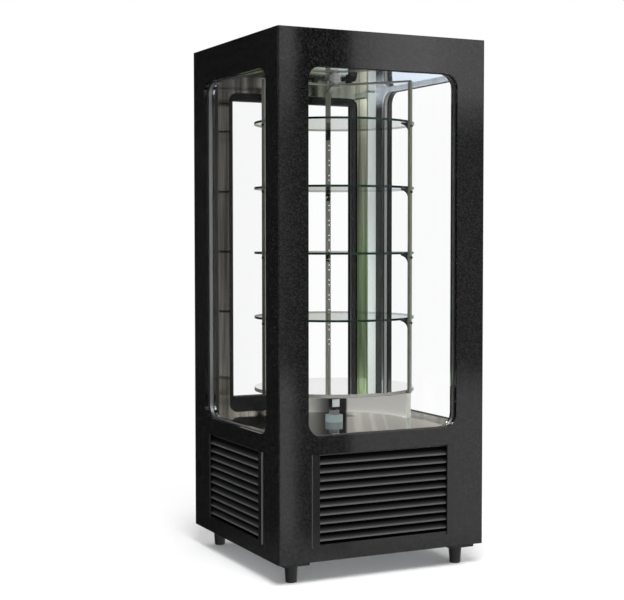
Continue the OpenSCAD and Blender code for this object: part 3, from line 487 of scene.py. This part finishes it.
def drive_with_painted_highlight(name, foot):
    """Blackened drive with a painted highlight on the front face of its block, over a grey neck that stands
    at the height foot; the whole drive has a painted glow."""
    s = Shader(name)
    at = s.axes(s.place())
    rise = s.span(at["Z"], 0.0, 1.0, foot, foot + DRIVE_RISE)
    black = 0.008
    neck = ((0.25, 0.22), (0.27, black))
    plain = s.ramp(rise, *neck)
    # painted highlight: bright bands on the block's front face
    bright = s.ramp(rise, *neck, (0.41, black), (0.45, (0.74, 0.80, 0.83)), (0.60, (0.82, 0.88, 0.90)),
                    (0.62, 0.45), (0.65, (0.80, 0.86, 0.90)), (0.82, (0.60, 0.66, 0.70)), (0.86, black))
    tone = s.blend(s.math("LESS_THAN", at["Y"], DRIVE_FRONT), plain, bright)
    return s.finished(tone, 0.3, Emission_Color=tone, Emission_Strength=0.3)


def finned_aluminium(name, colour):
    """Fin stock, dull with dust."""
    s = Shader(name)
    dust = s.noise(s.place(), 60, 4)
    return s.finished(s.mottle(dust, colour, 0.6, 0.35, 0.65), s.span(dust, 0.3, 0.55), Metallic=0.9)


# Mesh building

def new_piece(name, mesh, body, material):
    """A finished piece from a mesh: linked, painted, carried by a body."""
    mesh.materials.clear()
    mesh.materials.append(material)
    piece = bpy.data.objects.new(name, mesh)
    bpy.context.scene.collection.objects.link(piece)
    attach(piece, body)
    return piece


def paint(names, material):
    for name in names:
        held = NODES[name]
        if not held.material_slots:
            held.data.materials.append(material)
        for place in held.material_slots:
            place.material = material


def smooth(mesh, angle=35):
    """Shades a mesh smooth but for its corners sharper than angle degrees."""
    bm = bmesh.new()
    bm.from_mesh(mesh)
    for face in bm.faces:
        face.smooth = True
    for edge in bm.edges:
        edge.smooth = len(edge.link_faces) == 2 and edge.calc_face_angle(0) < math.radians(angle)
    bm.to_mesh(mesh)
    bm.free()


def slab(low, high):
    """A closed box between two corners."""
    bm = bmesh.new()
    bmesh.ops.create_cube(bm, size=1)
    low, high = Vector(low), Vector(high)
    for vert in bm.verts:
        vert.co = Vector(low[i] + (vert.co[i] + 0.5) * (high[i] - low[i]) for i in range(3))
    mesh = bpy.data.meshes.new("slab")
    bm.to_mesh(mesh)
    bm.free()
    return mesh


def rounded_outline(width, height, radius, steps=10):
    """Points round a rounded rectangle centred on the origin, anticlockwise."""
    points = []
    for quarter, (sx, sy) in enumerate(((1, 1), (-1, 1), (-1, -1), (1, -1))):
        cx, cy = sx * (width / 2 - radius), sy * (height / 2 - radius)
        for i in range(steps + 1):
            a = math.radians(90 * quarter + 90 * i / steps)
            points.append((cx + radius * math.cos(a), cy + radius * math.sin(a)))
    return points


def swept_ring(outline, section, to_world):
    """A closed ring: a section of (outward, depth) pairs carried round an outline of points."""
    bm = bmesh.new()
    count = len(outline)
    rows = []
    for i, (x, y) in enumerate(outline):
        before = Vector(outline[i - 1])
        after = Vector(outline[(i + 1) % count])
        along = (after - before).normalized()
        out = Vector((along.y, -along.x))
        rows.append([bm.verts.new(to_world @ Vector((x + out.x * u, y + out.y * u, v))) for u, v in section])
    for i in range(count):
        here, after = rows[i], rows[(i + 1) % count]
        for j in range(len(section)):
            k = (j + 1) % len(section)
            bm.faces.new((here[j], after[j], after[k], here[k]))
    bmesh.ops.recalc_face_normals(bm, faces=bm.faces)
    mesh = bpy.data.meshes.new("ring")
    bm.to_mesh(mesh)
    bm.free()
    smooth(mesh, 50)
    return mesh


def wall_frame(side, height):
    """Matrix from a wall's own plane (x along it, y up, z outwards) to the row frame."""
    low, high = CAD_SHELL
    distance = (high.y - low.y) / 2 if side % 2 == 0 else (high.x - low.x) / 2
    turn = Matrix.Rotation(math.radians(90 * side), 4, "Z")
    stand = Matrix(((1, 0, 0, 0), (0, 0, -1, -distance), (0, 1, 0, height), (0, 0, 0, 1)))
    return turn @ stand


def shell_box():
    """Box of the sheet panels alone, without what stands proud of them."""
    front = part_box("front_panel")
    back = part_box("back_panel")
    return Vector(front[0]), Vector((front[1][0], back[1][1], front[1][2]))


CAD_SHELL = shell_box()


# Geometry Nodes

class NodeTree(NodeWriter):
    """A Geometry Nodes tree with named inputs."""

    def __init__(self, name):
        self.tree = bpy.data.node_groups.new(name, "GeometryNodeTree")
        for way in ("INPUT", "OUTPUT"):
            self.tree.interface.new_socket("Geometry", in_out=way, socket_type="NodeSocketGeometry")
        self.start = self.node("NodeGroupInput")
        self.end = self.node("NodeGroupOutput")

    def length(self, name, default):
        """A named input for a size."""
        made = self.tree.interface.new_socket(name, in_out="INPUT", socket_type="NodeSocketFloat")
        made.default_value = default

    def given(self, name):
        return self.start.outputs[name]

    def times(self, source, factor):
        made = self.node("ShaderNodeMath", operation="MULTIPLY")
        self.link(source, made.inputs[0])
        made.inputs[1].default_value = factor
        return made.outputs[0]

    def moved(self, mesh, shift):
        made = self.node("GeometryNodeTransform")
        self.link(mesh, made.inputs["Geometry"])
        self.link(shift, made.inputs["Translation"])
        return made.outputs["Geometry"]

    def close(self, geometry):
        """Ends the tree in Realize Instances and Set Material."""
        real = self.node("GeometryNodeRealizeInstances")
        finish = self.node("GeometryNodeSetMaterial")
        self.link(geometry, real.inputs["Geometry"])
        self.link(real.outputs["Geometry"], finish.inputs["Geometry"])
        self.link(self.given("Finish"), finish.inputs["Material"])
        self.link(finish.outputs["Geometry"], self.end.inputs["Geometry"])
        return self.tree


def dome_screw_tree():
    """A low domed head with a socket, on every point of the mesh, facing each point's own way."""
    t = NodeTree("Domed screw heads")
    t.length("Head radius", 4 * MM)
    t.length("Head height", 2.2 * MM)
    t.length("Socket radius", 1.8 * MM)
    t.tree.interface.new_socket("Finish", in_out="INPUT", socket_type="NodeSocketMaterial")
    radius, height = t.given("Head radius"), t.given("Head height")
    head = t.node("GeometryNodeMeshCylinder", Vertices=24)
    t.link(radius, head.inputs["Radius"])
    t.link(height, head.inputs["Depth"])
    shoulder = t.node("GeometryNodeMeshCone", Vertices=24)
    t.link(radius, shoulder.inputs["Radius Bottom"])
    t.link(t.times(radius, 0.72), shoulder.inputs["Radius Top"])
    t.link(t.times(height, 0.45), shoulder.inputs["Depth"])
    socket = t.node("GeometryNodeMeshCylinder", Vertices=6)
    t.link(t.given("Socket radius"), socket.inputs["Radius"])
    t.link(t.times(height, 1.6), socket.inputs["Depth"])
    lift = t.node("ShaderNodeCombineXYZ")
    t.link(t.times(height, 0.5), lift.inputs["Z"])
    solid = t.node("GeometryNodeJoinGeometry")
    t.link(t.moved(shoulder.outputs["Mesh"], lift.outputs["Vector"]), solid.inputs["Geometry"])
    t.link(head.outputs["Mesh"], solid.inputs["Geometry"])
    hollow = t.node("GeometryNodeMeshBoolean", operation="DIFFERENCE")
    t.link(solid.outputs["Geometry"], hollow.inputs["Mesh 1"])
    t.link(t.moved(socket.outputs["Mesh"], lift.outputs["Vector"]), hollow.inputs["Mesh 2"])
    way = t.node("GeometryNodeInputNamedAttribute", data_type="FLOAT_VECTOR", Name="facing")
    align = t.node("FunctionNodeAlignRotationToVector", axis="Z")
    t.link(way.outputs["Attribute"], align.inputs["Vector"])
    spread = t.node("GeometryNodeInstanceOnPoints")
    t.link(t.given("Geometry"), spread.inputs["Points"])
    t.link(hollow.outputs["Mesh"], spread.inputs["Instance"])
    t.link(align.outputs["Rotation"], spread.inputs["Rotation"])
    return t.close(spread.outputs["Instances"])


def grown(name, tree, base, values, body):
    """Runs a tree on a base mesh and keeps the result as a plain mesh carried by a body."""
    holder = bpy.data.objects.new(name + "_points", base)
    bpy.context.scene.collection.objects.link(holder)
    live = holder.modifiers.new("grow", "NODES")
    live.node_group = tree
    sockets = {item.name: item.identifier for item in tree.interface.items_tree
               if item.item_type == "SOCKET" and item.in_out == "INPUT"}
    for key, value in values.items():
        live[sockets[key]] = value
    bpy.context.view_layer.update()
    deps = bpy.context.evaluated_depsgraph_get()
    mesh = bpy.data.meshes.new_from_object(holder.evaluated_get(deps))
    bpy.data.objects.remove(holder)
    smooth(mesh)
    return new_piece(name, mesh, body, values["Finish"])


def points_mesh(places):
    """A mesh of loose points, each with the way it faces."""
    mesh = bpy.data.meshes.new("places")
    mesh.from_pydata([tuple(p) for p, _ in places], [], [])
    ways = mesh.attributes.new("facing", "FLOAT_VECTOR", "POINT")
    for point, place in zip(ways.data, places):
        point.vector = place[1]
    return mesh


# Sizes and colours a user may change

class CaseFinish(bpy.types.PropertyGroup):
    """Colours and sizes of the case's outside."""

    coat: bpy.props.FloatVectorProperty(
        name="Coat", description="Colour of the sheet panels",
        subtype="COLOR", default=(0.0004, 0.0004, 0.0004))
    fleck: bpy.props.FloatVectorProperty(
        name="Fleck", description="Colour of the flecks in the coat",
        subtype="COLOR", default=(0.0092, 0.0092, 0.0096))
    roughness: bpy.props.FloatProperty(
        name="Coat roughness", description="Roughness under the clear layer", min=0.1, max=0.8, default=0.5)
    slat: bpy.props.FloatVectorProperty(
        name="Slats", description="Colour of the louvre panels",
        subtype="COLOR", default=(0.013, 0.013, 0.0135))
    slat_blank: bpy.props.FloatProperty(
        name="Blank", description="Height of the plain strip over the slats",
        unit="LENGTH", default=37 * MM)
    slat_pitch: bpy.props.FloatProperty(
        name="Slat pitch", description="Height of one slat", unit="LENGTH", default=29 * MM)
    channel: bpy.props.FloatProperty(
        name="Channel", description="Width of the channel at each end of the slats",
        unit="LENGTH", default=30 * MM)
    screw_radius: bpy.props.FloatProperty(
        name="Screw head", description="Radius of the panel screws", unit="LENGTH", default=4 * MM)
    screw_height: bpy.props.FloatProperty(
        name="Screw height", description="Height of the panel screws", unit="LENGTH", default=1.8 * MM)


class CellFinish(bpy.types.PropertyGroup):
    """Colours and sizes of the glazed cell and its carousel."""

    steel: bpy.props.FloatVectorProperty(
        name="Polished steel", description="Colour of the ceiling",
        subtype="COLOR", default=(0.82, 0.83, 0.85))
    steel_roughness: bpy.props.FloatProperty(
        name="Steel roughness", description="Roughness of the ceiling", min=0.0, max=0.5, default=0.05)
    pane: bpy.props.FloatVectorProperty(
        name="Pane", description="Tint of one face of the window glass",
        subtype="COLOR", default=(0.997, 0.999, 0.998))
    shelf: bpy.props.FloatVectorProperty(
        name="Shelf", description="Tint of one face of a glass shelf",
        subtype="COLOR", default=(0.95, 0.965, 0.955))
    shelf_edge: bpy.props.FloatVectorProperty(
        name="Shelf edge", description="Colour of the shelf rims",
        subtype="COLOR", default=(0.006, 0.024, 0.018))
    post: bpy.props.FloatVectorProperty(
        name="Posts", description="Colour of the carousel posts",
        subtype="COLOR", default=(0.46, 0.455, 0.405))
    lamp_glow: bpy.props.FloatProperty(
        name="Lamp glow", description="Glow of the right lamp strip", min=0.0, max=5.0, default=0.25)
    bead: bpy.props.FloatProperty(
        name="Sealing bead", description="Width of the bead round a window",
        unit="LENGTH", default=2.4 * MM)


class StudioSettings(bpy.types.PropertyGroup):
    """Camera and light."""

    focal: bpy.props.FloatProperty(
        name="Focal length", description="Lens of the camera, in millimetres", default=80.10)
    key_power: bpy.props.FloatProperty(
        name="Key light", description="Power of the large front light", unit="POWER", default=300.0)
    sky: bpy.props.FloatProperty(
        name="Room light", description="Strength of the light from all round", default=0.5)


# Operators

class PASTRY_OT_coat_shell(bpy.types.Operator):
    """Coats the panels, louvres and feet"""

    bl_idname = "pastry.coat_shell"
    bl_label = "Coat shell"

    def execute(self, context):
        finish = context.scene.case_finish
        paint(COATED, speckled_coat(
            "speckled black coat", tuple(finish.coat), tuple(finish.fleck), finish.roughness))
        for name in LOUVRES:
            low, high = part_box(name)
            wide, axis = max((high[0] - low[0], "X"), (high[1] - low[1], "Y"))
            paint((name,), slat_paint(name + " paint", tuple(finish.slat), high[2] - finish.slat_blank,
                                      finish.slat_pitch, axis, wide / 2 - finish.channel))
        paint(("feet", "foot_plates"), moulded("black foot plastic", grey(0.014), 0.42))
        paint(("base_tray",), brushed_metal("zinc-coated sheet", (0.5, 0.51, 0.52), 0.42, (1, 30, 1)))
        return {"FINISHED"}


class PASTRY_OT_glaze(bpy.types.Operator):
    """Glazes the windows and the door, with spacers and sealing beads"""

    bl_idname = "pastry.glaze"
    bl_label = "Glaze"

    def execute(self, context):
        finish = context.scene.cell_finish
        glass = clear_pane("clear window glass", tuple(finish.pane), 0.95)
        for name in WINDOWS:
            unit = new_piece(name + "_unit", slab(*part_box(name)), BODY_OF[name], glass)
            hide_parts(name)
        spacer = polished_steel("satin spacer", (0.42, 0.42, 0.43), 0.36, 0.02)
        paint(("glazing_rings",), spacer)
        self.door_spacer(spacer)
        paint(("door_frame",), smooth_coat("gloss black door", grey(0.012), 0.16))
        paint(("door_gasket",), moulded("black gasket", grey(0.02), 0.6))
        paint(("hinge_brackets",), brushed_metal("hinge steel", (0.42, 0.43, 0.44), 0.35))
        self.beads(finish.bead)
        return {"FINISHED"}

    @staticmethod
    def door_spacer(material):
        """The bright bar between the two panes of the door, all round."""
        low, high = (Vector(c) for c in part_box("door_glass"))
        pane, bar, play = 4 * MM, 8 * MM, 0.5 * MM
        outline = rounded_outline(high.x - low.x - 2 * bar, high.z - low.z - 2 * bar, play, 2)
        depth = high.y - low.y - 2 * pane
        section = ((0, 0), (0, depth), (bar - play, depth), (bar - play, 0))
        middle = (low + high) / 2
        place = Matrix(((1, 0, 0, middle.x), (0, 0, 1, low.y + pane), (0, 1, 0, middle.z), (0, 0, 0, 1)))
        new_piece("door_glass_spacer", swept_ring(outline, section, place), "door",
                  material)

    @staticmethod
    def beads(width):
        """A dark bead in the corner between each window's return and its outer pane, just clear of both."""
        sealant = moulded("black sealant", grey(0.010), 0.35, 300)
        clear = 0.1 * MM
        section = [(-clear, clear)] + [
            (out * width - clear, deep * width + clear)
            for out, deep in ((0.0, 1.0), (-0.35, 0.8), (-0.8, 0.35), (-1.0, 0.0))]
        shell_low, shell_high = CAD_SHELL
        for side, name in ((0, "front"), (1, "right"), (3, "left")):
            low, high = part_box(name + "_glass")
            depth = {"front": low[1] - shell_low.y, "right": shell_high.x - high[0],
                     "left": low[0] - shell_low.x}[name]
            across = high[side % 2] - low[side % 2]
            outline = rounded_outline(across - 2 * OVERLAP, high[2] - low[2] - 2 * OVERLAP, WINDOW_CORNER)
            place = wall_frame(side, (low[2] + high[2]) / 2) @ Matrix.Translation((0, 0, -depth))
            new_piece(name + "_window_bead", swept_ring(outline, section, place), "cabinet",
                      sealant)


class PASTRY_OT_line_cell(bpy.types.Operator):
    """Finishes the polished cell and its fixed fittings"""

    bl_idname = "pastry.line_cell"
    bl_label = "Line cell"

    def execute(self, context):
        finish = context.scene.cell_finish
        steel = tuple(finish.steel)
        paint(("ceiling_lining",), polished_steel("polished ceiling", steel, finish.steel_roughness))
        low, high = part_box("right_glass")
        paint(("lining_frames",), mirrored_lining(
            "polished walls", low[2] + OVERLAP, high[2] - OVERLAP, **LINING))
        paint(("floor_tray",), tray_steel("floor tray steel", (0.66, 0.64, 0.61), TRAY_REFLECTIONS))
        paint(("lamp_strips",), lamp_cover(
            "lamp diffuser", (0.80, 0.86, 0.84), (0.035, 0.032, 0.027), finish.lamp_glow))
        paint(("ceiling_bearing",), brushed_metal("turned steel", (0.95, 0.95, 0.92), 0.3))
        paint(("ceiling_probe",), moulded("black housing", grey(0.02), 0.35))
        # painted glow on the pedestal
        paint(("pedestal",), glowing_enamel("blue-grey pedestal", (0.42, 0.52, 0.53), 0.30))
        self.baffle()
        foam = moulded("foam core", (0.45, 0.42, 0.32), 0.8, 120)
        paint(("corner_posts", "floor_deck", "ceiling_deck", "evaporator_tub"), foam)
        return {"FINISHED"}

    @staticmethod
    def baffle():
        """The curved sheet under the turntable, with a painted glow and painted shade behind the drive, and
        an edge turned out on its right."""
        # painted glow all over the baffle, painted shade behind the drive
        paint(("air_baffle",), glowing_enamel("light grey baffle", (0.80, 0.79, 0.75), 0.30, BAFFLE_SHADE))
        low, high = (Vector(c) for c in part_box("air_baffle"))
        sheet, flange, proud = 1.5 * MM, 18 * MM, 0.2 * MM
        inner = high.x - sheet
        edge = slab((inner, low.y - proud, low.z), (inner + flange, low.y + sheet, high.z))
        bright = smooth_coat("pale flange", (0.70, 0.72, 0.66), 0.35)
        new_piece("baffle_end_flange", edge, "cabinet", bright)


class PASTRY_OT_dress_carousel(bpy.types.Operator):
    """Finishes the turning shelves, posts and plate"""

    bl_idname = "pastry.dress_carousel"
    bl_label = "Dress carousel"

    def execute(self, context):
        finish = context.scene.cell_finish
        paint(SHELVES, shelf_glass("shelf glass", tuple(finish.shelf), tuple(finish.shelf_edge)))
        paint(("carousel_posts", "top_spider"),
              brushed_metal("satin post tube", tuple(finish.post), 0.3, (40, 40, 1)))
        paint(("shelf_brackets",), smooth_coat("black brackets", grey(0.016), 0.4))
        paint(("turntable_plate",),
              turntable_steel("turntable steel", (0.84, 0.835, 0.825), (0.24, 0.235, 0.22)))
        paint(("drive_shaft",), drive_with_painted_highlight("drive steel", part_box("pedestal")[1][2]))
        return {"FINISHED"}


class PASTRY_OT_fit_machine(bpy.types.Operator):
    """Finishes the refrigeration machinery and the electrics"""

    bl_idname = "pastry.fit_machine"
    bl_label = "Fit machine"

    def execute(self, context):
        paint(("compressor",), smooth_coat("black compressor", grey(0.014), 0.25))
        paint(("compressor_feet",), moulded("rubber feet", grey(0.018), 0.7))
        paint(("condenser_coil", "evaporator_coil"), finned_aluminium("fin stock", (0.5, 0.51, 0.52)))
        paint(("fan_shroud", "electrical_box"), brushed_metal("galvanised sheet", (0.42, 0.43, 0.44), 0.45))
        paint(("condenser_fan_motor", "evaporator_fan_motor", "gearmotor"),
              smooth_coat("motor grey", (0.16, 0.17, 0.18), 0.4))
        paint(("condenser_fan", "evaporator_fan"), moulded("fan plastic", (0.04, 0.043, 0.047), 0.4))
        paint(("filter_drier", "refrigerant_pipes"),
              brushed_metal("copper", (0.72, 0.36, 0.2), 0.28, (3, 3, 3)))
        paint(("drain_pan",), moulded("black tray plastic", grey(0.025), 0.45))
        paint(("control_plate", "cord_gland"), moulded("control plastic", grey(0.02), 0.4))
        paint(("lamp_switch", "rotation_switch"), moulded("rocker plastic", grey(0.010), 0.22, 300))
        return {"FINISHED"}


class PASTRY_OT_drive_screws(bpy.types.Operator):
    """Drives the screws down both edges of the back panel"""

    bl_idname = "pastry.drive_screws"
    bl_label = "Drive screws"

    def execute(self, context):
        finish = context.scene.case_finish
        blackened = smooth_coat("blackened screw", grey(0.03), 0.3)
        low, high = CAD_SHELL
        rows, inset, margin = 7, 35 * MM, 60 * MM
        places = []
        for x in (low.x + inset, high.x - inset):
            for row in range(rows):
                z = low.z + margin + row * (high.z - low.z - 2 * margin) / (rows - 1)
                places.append((Vector((x, high.y, z)), Vector((0, 1, 0))))
        grown("back_panel_screws", dome_screw_tree(), points_mesh(places),
              {"Head radius": finish.screw_radius, "Head height": finish.screw_height,
               "Socket radius": finish.screw_radius * 0.42, "Finish": blackened}, "cabinet")
        return {"FINISHED"}


class PASTRY_OT_set_stage(bpy.types.Operator):
    """Sets the floor, the light and the camera"""

    bl_idname = "pastry.set_stage"
    bl_label = "Set stage"

    def execute(self, context):
        studio = context.scene.studio_settings
        self.floor()
        self.world(context.scene, studio.sky)
        for name, (place, width, share, mirrored) in LAMPS.items():
            self.lamp(name, place, width, studio.key_power * share, mirrored)
        self.camera(context.scene, studio.focal)
        context.scene.view_settings.view_transform = "Standard"
        return {"FINISHED"}

    @staticmethod
    def floor():
        """A pale floor that takes the case's shadow. Polished faces mirror the room instead of it."""
        s = Shader("pale floor")
        paper = s.node("BsdfDiffuse", Color=(*grey(0.93), 1))
        white = s.node("Emission", Color=(1, 1, 1, 1), Strength=1.0)
        away = s.node("VectorMath", operation="LENGTH")
        s.link(s.place(), away.inputs[0])
        share = s.math("MULTIPLY", s.seen(), s.span(away.outputs["Value"], 0.06, 1.0, 0.75, 1.7))
        mesh = bpy.data.meshes.new("floor")
        size = 60.0
        corners = [(-size, -size, 0), (size, -size, 0), (size, size, 0), (-size, size, 0)]
        mesh.from_pydata(corners, [], [(0, 1, 2, 3)])
        mesh.materials.append(s.surface(s.mix(share, paper.outputs["BSDF"], white.outputs["Emission"])))
        ground = bpy.data.objects.new("floor", mesh)
        ground.visible_glossy = False
        bpy.context.scene.collection.objects.link(ground)

    @staticmethod
    def world(scene, strength):
        """White to the eye, an even soft light, and a dim room with bright openings for polished faces to
        mirror."""
        s = Shader("room", world=True)
        way = s.axes(s.node("TexCoord").outputs["Generated"])
        back = s.math("MULTIPLY", way["Y"], -1.0)
        turn = s.span(s.math("ARCTAN2", way["X"], back), 0.0, 1.0, -math.pi, math.pi)
        place = s.math("ADD", s.span(turn, 0.0, 0.5), s.span(turn, 0.0, 0.5, *FRONT_SPAN))
        level = None
        for heights, stops in ROOM:
            here = s.ramp(place, *((ramp_place(share), colour) for share, colour in stops))
            level = here if level is None else s.blend(s.span(way["Z"], 0.0, 1.0, *heights), level, here)
        mirrored = s.node("Background", Strength=1.0)
        s.link(level, mirrored.inputs["Color"])
        light, white = (s.node("Background", Color=(1, 1, 1, 1), Strength=power) for power in (strength, 1.0))
        diffuse = s.node("LightPath").outputs["Is Diffuse Ray"]
        unseen = s.mix(diffuse, mirrored.outputs["Background"], light.outputs["Background"])
        scene.world = s.surface(s.mix(s.seen(), unseen, white.outputs["Background"]))

    @staticmethod
    def lamp(name, place, width, power, mirrored):
        """A square area lamp that looks at the middle of the case."""
        data = bpy.data.lights.new(name, "AREA")
        data.size = width
        data.energy = power
        lamp = bpy.data.objects.new(name, data)
        lamp.location = place
        aim = Vector((0, 0, 0.9)) - Vector(place)
        lamp.rotation_euler = aim.to_track_quat("-Z", "Y").to_euler()
        lamp.visible_glossy = mirrored
        bpy.context.scene.collection.objects.link(lamp)

    @staticmethod
    def camera(scene, focal):
        data = bpy.data.cameras.new("camera")
        data.lens = focal
        data.sensor_width = 36
        data.shift_x = EYE_SHIFT
        data.clip_end = 200
        eye = bpy.data.objects.new("camera", data)
        eye.location = EYE
        eye.rotation_euler = (math.radians(90 - EYE_DOWN), 0, math.radians(-EYE_RIGHT))
        scene.collection.objects.link(eye)
        scene.camera = eye


STEPS = (PASTRY_OT_coat_shell, PASTRY_OT_glaze, PASTRY_OT_line_cell, PASTRY_OT_dress_carousel,
         PASTRY_OT_fit_machine, PASTRY_OT_drive_screws, PASTRY_OT_set_stage)
GROUPS = {"case_finish": CaseFinish, "cell_finish": CellFinish, "studio_settings": StudioSettings}


class PASTRY_PT_panel(bpy.types.Panel):
    """Lists the steps and their settings"""

    bl_idname = "PASTRY_PT_panel"
    bl_label = "Pastry case"
    bl_space_type = "VIEW_3D"
    bl_region_type = "UI"
    bl_category = "Pastry case"

    def draw(self, context):
        for name in GROUPS:
            for key in getattr(context.scene, name).__annotations__:
                self.layout.prop(getattr(context.scene, name), key)
        for step in STEPS:
            self.layout.operator(step.bl_idname)


CLASSES = (*GROUPS.values(), *STEPS, PASTRY_PT_panel)


def register():
    for kind in CLASSES:
        bpy.utils.register_class(kind)
    for name, kind in GROUPS.items():
        setattr(bpy.types.Scene, name, bpy.props.PointerProperty(type=kind))


def unregister():
    for name in GROUPS:
        delattr(bpy.types.Scene, name)
    for kind in reversed(CLASSES):
        bpy.utils.unregister_class(kind)


def main():
    register()
    bpy.ops.pastry.coat_shell()
    bpy.ops.pastry.glaze()
    bpy.ops.pastry.line_cell()
    bpy.ops.pastry.dress_carousel()
    bpy.ops.pastry.fit_machine()
    bpy.ops.pastry.drive_screws()
    bpy.ops.pastry.set_stage()


if __name__ == "__main__":
    main()
